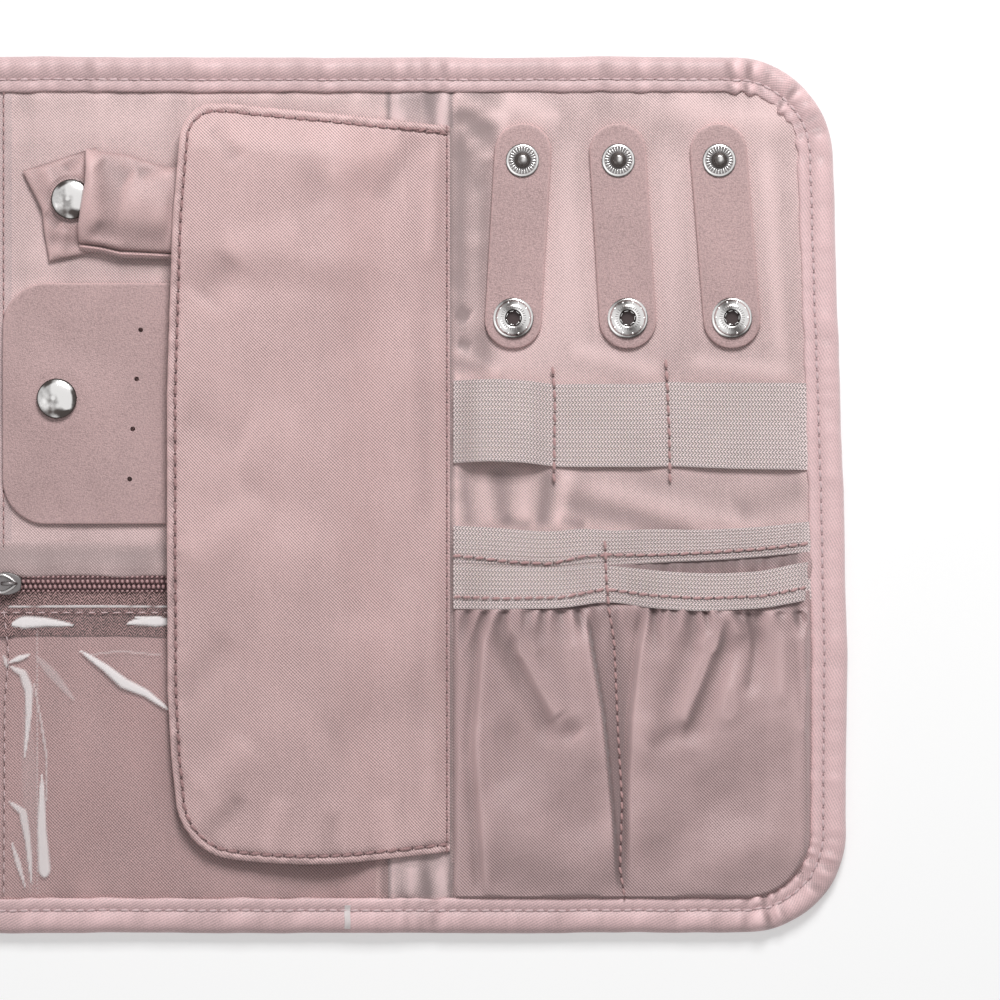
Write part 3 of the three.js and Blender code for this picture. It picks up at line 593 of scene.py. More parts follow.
def inside_distance(x, y, left, right, bottom, top, radius_left, radius_right):
    """How far a point lies inside a box with rounded corners; None for a side that has no edge."""
    far = 1e4
    low_x = -far if left is None else left
    high_x = far if right is None else right
    middle = (low_x + high_x) / 2
    radius = np.where(x < middle, radius_left, radius_right)
    from_x = np.abs(x - middle) - ((high_x - low_x) / 2 - radius)
    from_y = np.abs(y - (bottom + top) / 2) - ((top - bottom) / 2 - radius)
    outside = np.hypot(np.maximum(from_x, 0), np.maximum(from_y, 0))
    return radius - outside - np.minimum(np.maximum(from_x, from_y), 0)


def rolled(distance, radius, drop):
    """How far a rolled edge falls away within radius of the edge."""
    share = np.clip(distance / radius, 0.0, 1.0)
    return -drop * (1 - np.sqrt(1 - (1 - share) ** 2))


# %% [markdown]
# Satin and nylon twill show a fold mostly by their shine, which turns with the slope across the
# threads, and by the dark of a hollow. Both are worked out from the heights and painted on the mesh,
# where the cloth finishes read them as `hollow` and `slope`.


# %% What a fold paints on the cloth
def running_mean(line, reach):
    """The mean of a line of values over reach places to each side."""
    size = 2 * reach + 1
    return np.convolve(np.pad(line, reach, mode="edge"), np.ones(size) / size, "valid")


def box_mean(z, reach):
    """The mean of a grid over a square that goes reach cells to each side."""
    size = 2 * reach + 1
    for axis in (0, 1):
        pads = [(reach + 1, reach) if axis == k else (0, 0) for k in (0, 1)]
        total = np.cumsum(np.pad(z, pads, mode="edge"), axis)
        after = np.take(total, range(size, total.shape[axis]), axis)
        z = (after - np.take(total, range(total.shape[axis] - size), axis)) / size
    return z


def fold_paint(x, z, reach=5, depth=0.8, more=0.0):
    """The painted shade and sheen of a grid of cloth: reach is in cells, and more is painted shade added to
    that of the hollows.
    """
    around = box_mean(box_mean(z, reach), reach)
    hollow = np.clip((around - z) / depth, -1, 1) + more
    fine = z - box_mean(z, 4 * reach)
    slope = np.gradient(fine, axis=1) / np.gradient(x, axis=1)
    return {"hollow": hollow, "slope": np.clip(slope, -1.2, 1.2)}


# %% [markdown]
# A piece of cloth is closed: a top, a bottom and the walls between them. `closed_sheet` builds that
# from two grids. The walls get sharp edges by angle, so that two pieces that meet end to end in a
# seam shade as one. `spans` makes the grid for an outline with rounded corners: each row runs from
# the left edge to the right edge, and the rows crowd where a corner turns.


# %% Grids and closed sheets
SHARP_ANGLE = 0.9


def grid_faces(rows, columns, first=0, flip=False):
    """The faces of a grid whose first point has that number."""
    index = first + np.arange(rows * columns).reshape(rows, columns)
    a, b, c, d = index[:-1, :-1], index[:-1, 1:], index[1:, 1:], index[1:, :-1]
    order = (a, d, c, b) if flip else (a, b, c, d)
    return np.stack(order, -1).reshape(-1, 4)


def wall_faces(rows, columns):
    """The rim between a lower grid, which comes second, and the upper grid."""
    upper = np.arange(rows * columns).reshape(rows, columns)
    lower = upper + rows * columns
    walls = []
    for line in (upper[0], upper[:, -1], upper[-1, ::-1], upper[::-1, 0]):
        below = lower.ravel()[line]
        walls.append(np.stack([line[:-1], below[:-1], below[1:], line[1:]], -1))
    return np.concatenate(walls)


def new_piece(name, points, faces, finishes, slots=None, run=None, paint=None, sharp=SHARP_ANGLE):
    """A mesh object from points in millimetres; run is its UV map and paint its values."""
    mesh = bpy.data.meshes.new(name)
    mesh.from_pydata((np.asarray(points) * MM).tolist(), [], [list(map(int, f)) for f in faces])
    for finish in finishes:
        mesh.materials.append(finish.material)
    if slots is not None:
        mesh.polygons.foreach_set("material_index", np.asarray(slots, np.int32))
    corner = np.empty(len(mesh.loops), np.int32)
    mesh.loops.foreach_get("vertex_index", corner)
    places = np.asarray(points)[:, :2] if run is None else np.asarray(run)
    layer = mesh.uv_layers.new(name="run")
    layer.data.foreach_set("uv", (places[corner] * MM).astype(np.float32).ravel())
    for key, values in (paint or {}).items():
        attribute = mesh.attributes.new(key, "FLOAT", "POINT")
        attribute.data.foreach_set("value", np.asarray(values, np.float32))
    mesh.polygons.foreach_set("use_smooth", np.ones(len(mesh.polygons), bool))
    mesh.set_sharp_from_angle(angle=sharp)
    mesh.validate()
    piece = bpy.data.objects.new(name, mesh)
    scene.collection.objects.link(piece)
    return piece


def closed_sheet(name, top, bottom, finishes, slots=None, run=None, paint=None):
    """A closed sheet between two grids of points, each of rows, columns and 3."""
    rows, columns = top.shape[:2]
    count = rows * columns
    points = np.concatenate([top.reshape(-1, 3), bottom.reshape(-1, 3)])
    walls = wall_faces(rows, columns)
    faces = np.concatenate([grid_faces(rows, columns), grid_faces(rows, columns, count, True), walls])
    if slots is not None:
        flat = np.asarray(slots).reshape(-1)
        slots = np.concatenate([flat, flat, np.full(len(walls), flat[0])])
    if run is not None:
        run = np.concatenate([run.reshape(-1, 2)] * 2)
    if paint is not None:
        paint = {key: np.concatenate([v.ravel()] * 2) for key, v in paint.items()}
    return new_piece(name, points, faces, finishes, slots, run, paint)


def steps(start, stop, size):
    """Even steps of about that size from start to stop."""
    return np.linspace(start, stop, max(2, int(round(abs(stop - start) / size)) + 1))


def rounded_rows(bottom, top, low_radius, high_radius, size):
    """Heights of a grid's rows, crowded where the corners turn."""
    turn = np.linspace(0, math.pi / 2, 9)[:-1]
    low = bottom + low_radius * (1 - np.cos(turn)) if low_radius else np.array([])
    high = top - high_radius * (1 - np.cos(turn[::-1])) if high_radius else np.array([])
    return np.concatenate([low, steps(bottom + low_radius, top - high_radius, size), high])


def corner_inset(y, bottom, top, radius):
    """How far the edge moves in where a corner of that radius is turning."""
    into = np.maximum(np.maximum(bottom + radius - y, y - (top - radius)), 0.0)
    return radius - np.sqrt(np.maximum(radius**2 - np.minimum(into, radius) ** 2, 0.0))


def spans(left, right, bottom, top, radius_left, radius_right, size):
    """A grid of x and y over a box with rounded corners."""
    radius = max(radius_left, radius_right)
    y = rounded_rows(bottom, top, radius, radius, size)
    share = np.linspace(0, 1, max(3, int((right - left) / size) + 1))
    low = left + corner_inset(y, bottom, top, radius_left) if radius_left else left + 0 * y
    high = right - corner_inset(y, bottom, top, radius_right) if radius_right else right + 0 * y
    x = low[:, None] + (high - low)[:, None] * share[None, :]
    return x, np.repeat(y[:, None], len(share), 1)


def stacked(x, y, z):
    """Points from their coordinates, which may be single numbers."""
    return np.stack(np.broadcast_arrays(x, y, z), -1)


def joined(piece, *others):
    """Joins other pieces into one, which keeps its name."""
    bpy.ops.object.select_all(action="DESELECT")
    for other in others:
        other.select_set(True)
    piece.select_set(True)
    bpy.context.view_layer.objects.active = piece
    bpy.ops.object.join()
    return piece


def dress(piece, body, nodes):
    """Puts a piece on its CAD body, if it is given one, in the nodes' place."""
    if body:
        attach(piece, body)
    if nodes:
        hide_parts(*nodes)


print("mesh helpers ready")
# %% [markdown]
# ## Geometry Nodes recipes
#
# Stitches, coil loops and snap ridges repeat hundreds of times along a line, so Geometry Nodes place
# them. A `Recipe` is a node tree with named inputs. `follow` runs one on a line of points and hands
# back a plain mesh, which then becomes part of the piece that it is sewn to.


# %% The recipe class
class Recipe(Finish):
    """A Geometry Nodes tree, built with the same node method as a finish."""

    def __init__(self, name, inputs):
        self.tree = bpy.data.node_groups.new(name, "GeometryNodeTree")
        sockets = self.tree.interface
        sockets.new_socket("Geometry", in_out="INPUT", socket_type="NodeSocketGeometry")
        self.keys = {}
        for label, kind, value in inputs:
            made = sockets.new_socket(label, in_out="INPUT", socket_type=kind)
            if value is not None:
                made.default_value = value
            self.keys[label] = made.identifier
        sockets.new_socket("Geometry", in_out="OUTPUT", socket_type="NodeSocketGeometry")
        self.given = self.tree.nodes.new("NodeGroupInput")
        self.result = self.tree.nodes.new("NodeGroupOutput")

    def input(self, label):
        """One of the recipe's own inputs, as a value to work with."""
        return Value(self, self.given.outputs[label])

    def finish(self, geometry):
        """Ends the tree with real geometry in the chosen finish."""
        real = self.node("GeometryNodeRealizeInstances", {}, {"Geometry": geometry})
        soft = self.node("GeometryNodeSetShadeSmooth", {}, {"Geometry": real})
        values = {"Geometry": soft, "Material": self.input("Finish")}
        painted = self.node("GeometryNodeSetMaterial", {}, values)
        self.tree.links.new(painted.socket, self.result.inputs[0])


def follow(recipe, name, points, finish, closed=False, **sizes):
    """Runs a recipe along a line of points in millimetres and gives the result as a plain mesh."""
    count = len(points)
    edges = [(i, (i + 1) % count) for i in range(count if closed else count - 1)]
    line = bpy.data.meshes.new(name + "_line")
    line.from_pydata((np.asarray(points) * MM).tolist(), edges, [])
    holder = bpy.data.objects.new(name + "_line", line)
    scene.collection.objects.link(holder)
    modifier = holder.modifiers.new("recipe", "NODES")
    modifier.node_group = recipe.tree
    modifier[recipe.keys["Finish"]] = finish.material
    for label, value in sizes.items():
        modifier[recipe.keys[label.replace("_", " ")]] = value
    made = holder.evaluated_get(bpy.context.evaluated_depsgraph_get())
    mesh = bpy.data.meshes.new_from_object(made)
    mesh.name = name
    bpy.data.objects.remove(holder)
    piece = bpy.data.objects.new(name, mesh)
    scene.collection.objects.link(piece)
    return piece


# %% A recipe for beads along a line: stitches, coil loops and ridges
def bead_recipe():
    sizes = {"Pitch": 3.0, "Length": 2.3, "Width": 0.5, "Height": 0.4, "Turn": 0.0, "Unevenness": 0.08}
    inputs = [(label, "NodeSocketFloat", value) for label, value in sizes.items()]
    inputs += [("Seed", "NodeSocketInt", 1), ("Finish", "NodeSocketMaterial", None)]
    beads = Recipe("beads_along_a_line", inputs)
    per_metre = 1 / MM
    curve = beads.node("GeometryNodeMeshToCurve", {}, {"Mesh": beads.input("Geometry")})
    values = {"Curve": curve, "Length": beads.input("Pitch") / per_metre}
    evenly = beads.node("GeometryNodeResampleCurve", {"mode": "LENGTH"}, values)
    spots = beads.tree.nodes.new("GeometryNodeCurveToPoints")
    spots.mode = "EVALUATED"
    beads.put(spots.inputs["Curve"], evenly)
    tangent = Value(beads, spots.outputs["Tangent"])
    facing = beads.node("FunctionNodeAlignRotationToVector", {"axis": "X"}, {"Vector": tangent})
    bead = beads.node("GeometryNodeMeshUVSphere", {}, {"Segments": 8, "Rings": 5, "Radius": 0.5})
    parts = {"X": beads.input("Length") / per_metre, "Y": beads.input("Width") / per_metre,
             "Z": beads.input("Height") / per_metre}
    size = beads.node("ShaderNodeCombineXYZ", {}, parts)
    values = {"Points": Value(beads, spots.outputs["Points"]), "Instance": bead, "Rotation": facing,
              "Scale": size}
    placed = beads.node("GeometryNodeInstanceOnPoints", {}, values)
    spread = beads.input("Unevenness")
    values = {"Min_001": -1.0 * spread, "Max_001": spread, "Seed": beads.input("Seed")}
    wobble = beads.node("FunctionNodeRandomValue", {"data_type": "FLOAT"}, values, result="Value_001")
    turn = beads.node("ShaderNodeCombineXYZ", {}, {"Z": beads.input("Turn") + wobble})
    turned = beads.node("GeometryNodeRotateInstances", {}, {"Instances": placed, "Rotation": turn})
    beads.finish(turned)
    return beads


beads = bead_recipe()


def trimmed(points, cut):
    """The same line without a short stretch at each end."""
    points = np.asarray(points, float)
    run = np.concatenate([[0], np.cumsum(np.linalg.norm(np.diff(points, axis=0), axis=1))])
    places = np.linspace(cut, run[-1] - cut, len(points))
    return np.stack([np.interp(places, run, points[:, k]) for k in range(3)], -1)


def stitches(name, points, finish, pitch, length, width, height, seed, lean=0.06, hole=0.8, hollow=None):
    """A row of stitches, with painted shade where each one enters the cloth: a small dark bead for the hole.
    """
    sewn = follow(beads, name, points, finish, Pitch=pitch, Length=length, Width=width, Height=height,
                  Turn=lean, Unevenness=0.07, Seed=seed)
    holes = follow(beads, "holes", trimmed(points, pitch / 2), hollow or stitch_hole_shade, Pitch=pitch,
                   Length=pitch - length + 0.2, Width=width * hole, Height=height * 0.6, Turn=0.0,
                   Unevenness=0.1, Seed=seed)
    return joined(sewn, holes)


print("recipes:", [group.name for group in bpy.data.node_groups])
# %% [markdown]
# ## Covers, foam and linings
#
# The roll is one long sandwich. The outer cover and the lining run through all the panels, and the
# foam stops at each seam, so the two narrow spines stay soft and fold. A sheet may bend across one
# hinge only, so each layer is cut where nothing turns: in the middle of a spine or of a panel.

# %% Where each cut of a layer lies, and the hinge that lies within it
FOLD_REACH = 4.5
CUTS = [
    ("far_left", LEFT_EDGE, LEFT_SPINE_CENTRE, LEFT_PANEL_SEAM, "left_panel", "left_spine"),
    ("left", LEFT_SPINE_CENTRE, MIDDLE_CENTRE, MIDDLE_LEFT_SEAM, "left_spine", "middle_panel"),
    ("middle", MIDDLE_CENTRE, RIGHT_SPINE_CENTRE, MIDDLE_RIGHT_SEAM, "middle_panel", "right_spine"),
    ("right", RIGHT_SPINE_CENTRE, RIGHT_EDGE, RIGHT_PANEL_SEAM, "right_spine", "right_panel"),
]
SEAMS = (LEFT_PANEL_SEAM, MIDDLE_LEFT_SEAM, MIDDLE_RIGHT_SEAM, RIGHT_PANEL_SEAM)
INSIDE_TOP = TOP_EDGE - BINDING_WIDTH
INSIDE_BOTTOM = BOTTOM_EDGE + BINDING_WIDTH


def bend(piece, seam, first, second):
    """Bakes a piece's place into its mesh."""
    start = ((seam - FOLD_REACH) * MM, 0, FOLD_LEVEL * MM)
    end = ((seam + FOLD_REACH) * MM, 0, FOLD_LEVEL * MM)
    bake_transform(piece)


def spine_share(x):
    """1 on the two unpadded spines, 0 on the panels, with a soft step at each seam."""
    soft = 1.6
    left = smooth((x - LEFT_PANEL_SEAM) / soft + 0.5) * smooth((MIDDLE_LEFT_SEAM - x) / soft + 0.5)
    right = smooth((x - MIDDLE_RIGHT_SEAM) / soft + 0.5) * smooth((RIGHT_PANEL_SEAM - x) / soft + 0.5)
    return left + right


# %% [markdown]
# The picture's right edge isn't quite straight: it leans in towards the top and out towards the
# bottom. `lean` moves everything on the right panel by that little, most at the outer edge.

# %% How the right panel leans
EDGE_AT = ((57, -3.4), (150, -2.9), (300, -1.6), (450, 0.0), (640, 1.2), (830, 1.0), (935, 0.3))


def lean(x, y):
    """The x of a place on the right panel, moved by how far its edge leans at that height."""
    heights = [at_y(py) for py, _ in EDGE_AT][::-1]
    moves = [move for _, move in EDGE_AT][::-1]
    share = smooth((x - RIGHT_PANEL_SEAM) / (RIGHT_EDGE - RIGHT_PANEL_SEAM))
    return x + share * np.interp(y, heights, moves)


# %% [markdown]
# The lining carries the picture's folds. On the right panel it is pulled at the spine and hangs in
# soft vertical folds beside it; the middle panel is smooth, with a dip along the flap's edge.

# %% The lining's folds
RIGHT_FOLDS = [
    ((480, 150), (476, 245), 3.4, 0.30, 1.3),
    ((476, 235), (480, 330), 3.4, 0.28, 1.3),
    ((461, 130), (459, 330), 2.0, -0.25),
    ((488, 160), (486, 372), 2.2, -0.20),
    ((454, 96), (508, 122), 2.4, 0.55),
    ((457, 112), (500, 136), 2.0, -0.45),
    ((460, 126), (492, 158), 2.2, 0.40),
    ((455, 140), (480, 190), 2.6, -0.25),
    ((459, 311), (469, 317), 1.6, -0.9),
    ((459, 343), (470, 347), 1.4, -0.5),
    ((456, 350), (500, 374), 2.2, 0.3),
    ((505, 98), (560, 120), 3.0, 0.40),
    ((650, 105), (790, 118), 4.0, 0.30),
    ((768, 150), (782, 360), 3.0, 0.32),
    ((550, 472), (543, 524), 1.9, -0.5, 1.6),
    ((568, 474), (560, 526), 2.8, 0.4),
    ((505, 519), (530, 525), 1.6, -0.35),
    ((562, 520), (585, 526), 1.6, -0.35),
    ((528, 468), (524, 524), 3.4, 0.45),
    ((500, 470), (506, 526), 2.6, -0.34),
    ((482, 470), (490, 524), 2.6, 0.22),
    ((464, 470), (470, 526), 2.0, -0.34),
    ((590, 486), (760, 534), 5.0, 0.55),
    ((560, 500), (690, 534), 3.6, -0.5),
    ((740, 514), (806, 488), 5.0, -0.4),
    ((575, 350), (660, 372), 3.0, 0.30),
    ((690, 362), (790, 372), 3.0, 0.30),
    ((568, 140), (574, 340), 3.6, 0.14),
    ((668, 140), (676, 340), 3.6, 0.14),
]
MIDDLE_FOLDS = [
    ((4, 130), (160, 120), 5.0, 0.14),
    ((10, 275), (160, 268), 4.0, -0.16),
    ((5, 545), (165, 540), 4.5, 0.18),
    ((395, 92), (400, 126), 1.6, 0.32),
    ((428, 92), (436, 130), 2.0, -0.45),
    ((445, 92), (440, 130), 1.4, 0.35),
    ((384, 866), (385, 896), 1.0, -0.5),
    ((412, 868), (410, 895), 1.6, 0.4),
    ((424, 862), (430, 900), 1.6, -0.4),
    ((440, 866), (446, 898), 1.1, 0.5),
]
LINING_DIP = 0.28
BAND_ABOVE, BAND_BELOW, FIRST_STRAP = at_y(378), at_y(470), at_x(484)


def nothing_on_it(x, y):
    """1 where the right panel's lining lies free, so that its folds can stand up; 0 elsewhere."""
    past_seam = smooth((x - RIGHT_PANEL_SEAM - 0.3) / 1.0)
    beside = past_seam * smooth((FIRST_STRAP - x) / 2.5) * smooth((y - BAND_ABOVE) / 2)
    between = smooth((BAND_BELOW - y) / 1.5) * smooth((y - at_y(524)) / 1.5)
    low_spine = spine_share(x) * smooth((at_y(858) - y) / 2) * (x > MIDDLE_CENTRE)
    return np.maximum(np.maximum(beside, low_spine), between * past_seam)


def lining_shade(x, y):
    """Where the lining looks darker: beside the right seam, between the bands and above the zipper."""
    beside = smooth((x - RIGHT_PANEL_SEAM) / 1.5) * smooth((at_x(506) - x) / 8)
    beside = beside * smooth((y - BAND_ABOVE) / 4)
    between = smooth((BAND_BELOW - y) / 3) * smooth((x - RIGHT_PANEL_SEAM) / 2)
    above_zip = bell(y - at_y(559), 4.0) * smooth((x - MIDDLE_LEFT_SEAM) / 2) * (x < RIGHT_PANEL_SEAM)
    pinched = spine_share(x) * (0.05 + 0.25 * smooth((np.abs(y) - at_y(115)) / 6))
    cloudy = 0.12 * field(x, y, 60, 9)
    return 0.80 * beside + 0.20 * between + 0.85 * above_zip + pinched + cloudy


def lining_relief(x, y):
    """The folds, the seams and the pulls at the edge, above and below the lining's level."""
    z = 0.10 * field(x, y, 46, 3) + 0.05 * field(x, y, 13, 4, (1.0, 0.5))
    z = z + creases(x, y, RIGHT_FOLDS + MIDDLE_FOLDS)
    for seam in SEAMS:
        near = np.abs(x - seam)
        z = z - 0.55 * bell(near, 0.8)
        z = z + 0.10 * bell(near, 4.0) * field(x, y, 7, 6, (0.3, 1.0))
    pull = np.exp(-np.minimum(INSIDE_TOP - y, y - INSIDE_BOTTOM) / 5.0)
    pull = np.minimum(pull, 1.0)
    z = z + pull * 0.16 * field(x, y, 9, 7, (1.0, 0.4))
    return z + pull * spine_share(x) * 0.30 * field(x, y, 7, 8, (1.0, 0.4))


def lining_top(x, y):
    """The height of the lining's upper face, held down where something lies on it."""
    z = lining_relief(x, y)
    z = np.maximum(z, 0) + LINING_DIP * np.tanh(np.minimum(z, 0) / LINING_DIP)
    hem = smooth((np.abs(y) - (INSIDE_TOP - 1.0)) / 1.2)
    return LINING_LEVEL + np.minimum(z, 0.30 + 1.8 * nothing_on_it(x, y)) - hem * 0.35


# %% [markdown]
# The lining is cut like the cover, and its faces have three finishes: twill on the panels, satin on
# the spines and on the strip left of the middle panel, and the pocket's cloth below a clear window.

# %% The lining
CLOTH = 0.6
COVER_CLOTH = 0.8
UNDER_BINDING = 2.6
INSET_RADIUS = CORNER_RADIUS - BINDING_WIDTH + UNDER_BINDING
STRIP_RIGHT, STRIP_BOTTOM = at(10.4, 560)
STRIP_STITCHES = {"pitch": 2.6, "length": 1.9, "width": 0.5, "height": 0.4, "seed": 9, "hole": 0.7}
TWILL, SATIN, BELOW_WINDOW = 0, 1, 2


def end_radii(is_left, is_right):
    """The corner radii at both ends of a layer: only the roll's own ends are round."""
    return (INSET_RADIUS if is_left else 0, INSET_RADIUS if is_right else 0)


def layer_grid(name, left, right, size):
    """The grid of one cut of a layer, with the roll's corners rounded at its outer end."""
    low_x = left + (BINDING_WIDTH - UNDER_BINDING if name == "far_left" else 0)
    high_x = right - (BINDING_WIDTH - UNDER_BINDING if name == "right" else 0)
    bottom = INSIDE_BOTTOM - UNDER_BINDING
    top = INSIDE_TOP + UNDER_BINDING
    x, y = spans(low_x, high_x, bottom, top, *end_radii(name == "far_left", name == "right"), size)
    return (lean(x, y) if name == "right" else x), y


def finish_layer(piece, cut, nodes, x, y):
    bend(piece, *cut[3:])
    dress(piece, None, nodes)
    flat = ((x.max() - x.min()) * MM, (y.max() - y.min()) * MM)


def lining_finishes(x, y):
    """Which finish each face of the lining has."""
    x, y = (x[:-1, :-1] + x[1:, 1:]) / 2, (y[:-1, :-1] + y[1:, 1:]) / 2
    kind = np.where(spine_share(x) > 0.5, SATIN, TWILL)
    for window in ("clear_pocket_window", "left_pocket_window"):
        low, high = lowest(window), highest(window)
        end = MIDDLE_RIGHT_SEAM if high[0] > MIDDLE_CENTRE else high[0]
        kind[(x > low[0] - 1) & (x < end) & (y < high[1] + 4)] = BELOW_WINDOW
    kind[(x > LEFT_SPINE_CENTRE) & (x < STRIP_RIGHT) & (y > STRIP_BOTTOM)] = SATIN
    return kind


def make_linings():
    """All four cuts of the lining; the left one also has a row of stitches beside its strip."""
    nodes = {"far_left": ["lining_left"], "left": ["left_spine_cloth"], "middle": ["lining_middle"],
             "right": ["lining_right", "right_spine_cloth"]}
    finishes = [lining_cloth, spine_cloth, window_cloth]
    for cut in CUTS:
        name, left, right = cut[:3]
        x, y = layer_grid(name, left, right, 0.8 if name == "right" else 1.3)
        z = lining_top(x, y)
        # Painted shade and sheen from the folds, with the lining's own painted shade added.
        paint = fold_paint(x, lining_relief(x, y), 4, 0.5, lining_shade(x, y))
        piece = closed_sheet(f"lining_{name}_cloth", stacked(x, y, z), stacked(x, y, z - CLOTH), finishes,
                             lining_finishes(x, y), paint=paint)
        if name == "left":
            row = stacked(STRIP_RIGHT - 2.0, steps(STRIP_BOTTOM, INSIDE_TOP, 2.0), LINING_LEVEL + 0.25)
            piece = joined(piece, stitches("strip_row", row, dusty_thread, **STRIP_STITCHES))
        finish_layer(piece, cut, nodes[name], x, y)


make_linings()


# %% [markdown]
# The cover is the same cloth turned out. Under a spine it lies close to the lining, and under a
# panel it goes round the foam, which leaves a soft step at each seam on the back of the roll.

# %% The outer cover
def cover_low(x, y):
    """The height of the cover's lower face: the table under a panel, higher under a spine."""
    quilt = 0.25 * (field(x, y, 30, 21) * 0.5 + 0.5)
    lift = (SPINE_LOW - 0.3) * spine_share(x)
    near_edge = smooth((np.abs(y) - (INSIDE_TOP - 3)) / 4)
    return 0.02 + (quilt + lift) * (1 - near_edge * 0.4)


def make_covers():
    """All four cuts of the outer cover."""
    nodes = {"far_left": ["outer_cover_left"], "left": [], "middle": ["outer_cover_middle"],
             "right": ["outer_cover_right"]}
    for cut in CUTS:
        name, left, right = cut[:3]
        x, y = layer_grid(name, left, right, 2.2)
        low = cover_low(x, y)
        top = stacked(x, y, low + COVER_CLOTH)
        piece = closed_sheet(f"cover_{name}_cloth", top, stacked(x, y, low), [outer_cloth])
        finish_layer(piece, cut, nodes[name], x, y)


make_covers()


# %% [markdown]
# The foam pads are plain slabs with soft edges, a little crowned. Nobody sees them unless a seam
# opens, but they are what gives the panels their body.

# %% The foam pads
PAD_INSET_X, PAD_INSET_Y = 1.2, 5


def make_pad(label):
    """The foam pad of one panel."""
    node = f"foam_pad_{label}"
    left, right = lowest(node)[0] + PAD_INSET_X, highest(node)[0] - PAD_INSET_X
    bottom, top = lowest(node)[1] + PAD_INSET_Y, highest(node)[1] - PAD_INSET_Y
    radii = end_radii(label == "left", label == "right")
    x, y = spans(left, right, bottom, top, *radii, 4.0)
    edge = inside_distance(x, y, left, right, bottom, top, max(1, radii[0]), max(1, radii[1]))
    soft = rolled(edge, 3.0, 1.0)
    top_face = stacked(x, y, LINING_LOW - 0.45 + soft)
    low_face = stacked(x, y, COVER_TOP + 0.5 - soft)
    piece = closed_sheet(f"foam_{label}_filling", top_face, low_face, [foam_white])
    dress(piece, f"{label}_panel", [node])


for pad in ("middle", "right", "left"):
    make_pad(pad)
print("layers made")
# %% [markdown]
# ## The binding
#
# A bias strip of satin is folded round the raw edge and sewn through, so its section is a flat loop:
# a raised lip inside the stitch line and a fuller roll outside it. The section is drawn once, as
# distances in from the edge and heights, and swept along the rounded outline. The roll swells and
# puckers a little all along, and gathers at the corners, where the strip has more cloth than room.

# %% The binding's section
STITCH_INSET = 6.6
BINDING_TOP = [
    (10.0, 4.30), (10.15, 4.70), (9.95, 5.05), (9.4, 5.30), (8.6, 5.38), (7.8, 5.26), (7.1, 4.98),
    (6.6, 4.78), (6.1, 4.98), (5.3, 5.34), (4.2, 5.56), (3.1, 5.58), (2.1, 5.36), (1.2, 4.86), (0.5, 4.10),
    (0.1, 3.2), (0.0, 2.4),
]
BINDING_UNDER = [
    (0.15, 1.5), (0.7, 0.7), (1.6, 0.2), (3.0, 0.03), (5.6, 0.05), (6.6, 0.32), (7.6, 0.05), (9.6, 0.03),
    (10.0, 0.35),
]
BINDING_INNER = [
    (9.9, 0.8), (7.0, 0.85), (3.0, 0.9), (1.6, 1.4), (1.0, 2.4), (1.3, 3.5), (2.4, 4.3), (4.5, 4.6),
    (6.6, 4.1), (8.6, 4.5), (9.7, 4.4),
]
SECTION = np.array(BINDING_TOP + BINDING_UNDER + BINDING_INNER)
STITCH_INDEX = next(i for i, (inset, _) in enumerate(BINDING_TOP) if inset == STITCH_INSET)
BINDING_JOIN = at_x(352)
BINDING_CUT = 27


def binding_path():
    """Points anticlockwise round the roll, from the top of the right spine and back to it."""
    size = 0.9
    turn = np.linspace(0, math.pi / 2, int(CORNER_RADIUS * math.pi / 2 / 0.8))
    left, right = LEFT_EDGE + CORNER_RADIUS, RIGHT_EDGE - CORNER_RADIUS
    bottom, top = BOTTOM_EDGE + CORNER_RADIUS, TOP_EDGE - CORNER_RADIUS
    stops = [left, LEFT_SPINE_CENTRE, MIDDLE_CENTRE, RIGHT_SPINE_CENTRE, right]
    runs = []

    def straight(points_x, points_y, normal):
        for x, y in zip(*np.broadcast_arrays(points_x, points_y)):
            runs.append((x, y, *normal))

    def corner(cx, cy, begin):
        for angle in begin + turn[1:-1]:
            nx, ny = math.cos(angle), math.sin(angle)
            runs.append((cx + CORNER_RADIUS * nx, cy + CORNER_RADIUS * ny, -nx, -ny))

    for a, b in zip(stops[::-1][:-1], stops[::-1][1:]):
        straight(steps(a, b, size)[:-1], TOP_EDGE, (0, -1))
    straight(np.array([left]), TOP_EDGE, (0, -1))
    corner(left, top, math.pi / 2)
    straight(LEFT_EDGE, steps(top, bottom, size), (1, 0))
    corner(left, bottom, math.pi)
    for a, b in zip(stops[:-1], stops[1:]):
        straight(steps(a, b, size)[:-1], BOTTOM_EDGE, (0, 1))
    straight(np.array([right]), BOTTOM_EDGE, (0, 1))
    corner(right, bottom, 1.5 * math.pi)
    straight(RIGHT_EDGE, steps(bottom, top, size), (-1, 0))
    corner(right, top, 0)
    path = np.array(runs)
    start = np.argmin(np.hypot(path[:, 0] - RIGHT_SPINE_CENTRE, path[:, 1] - TOP_EDGE))
    path = np.roll(path, -start, axis=0)
    return np.concatenate([path, path[:1]])


def run_along(line):
    """How far each point of a line lies from its start."""
    return np.concatenate([[0], np.cumsum(np.hypot(*np.diff(line, axis=0).T))])


PATH = binding_path()
PATH_RUN = run_along(PATH[:, :2])


# %% [markdown]
# Each point of the section is moved by the same few waves: the inner lip wanders, the roll swells,
# and at a corner or over a soft spine short puckers run across the strip.

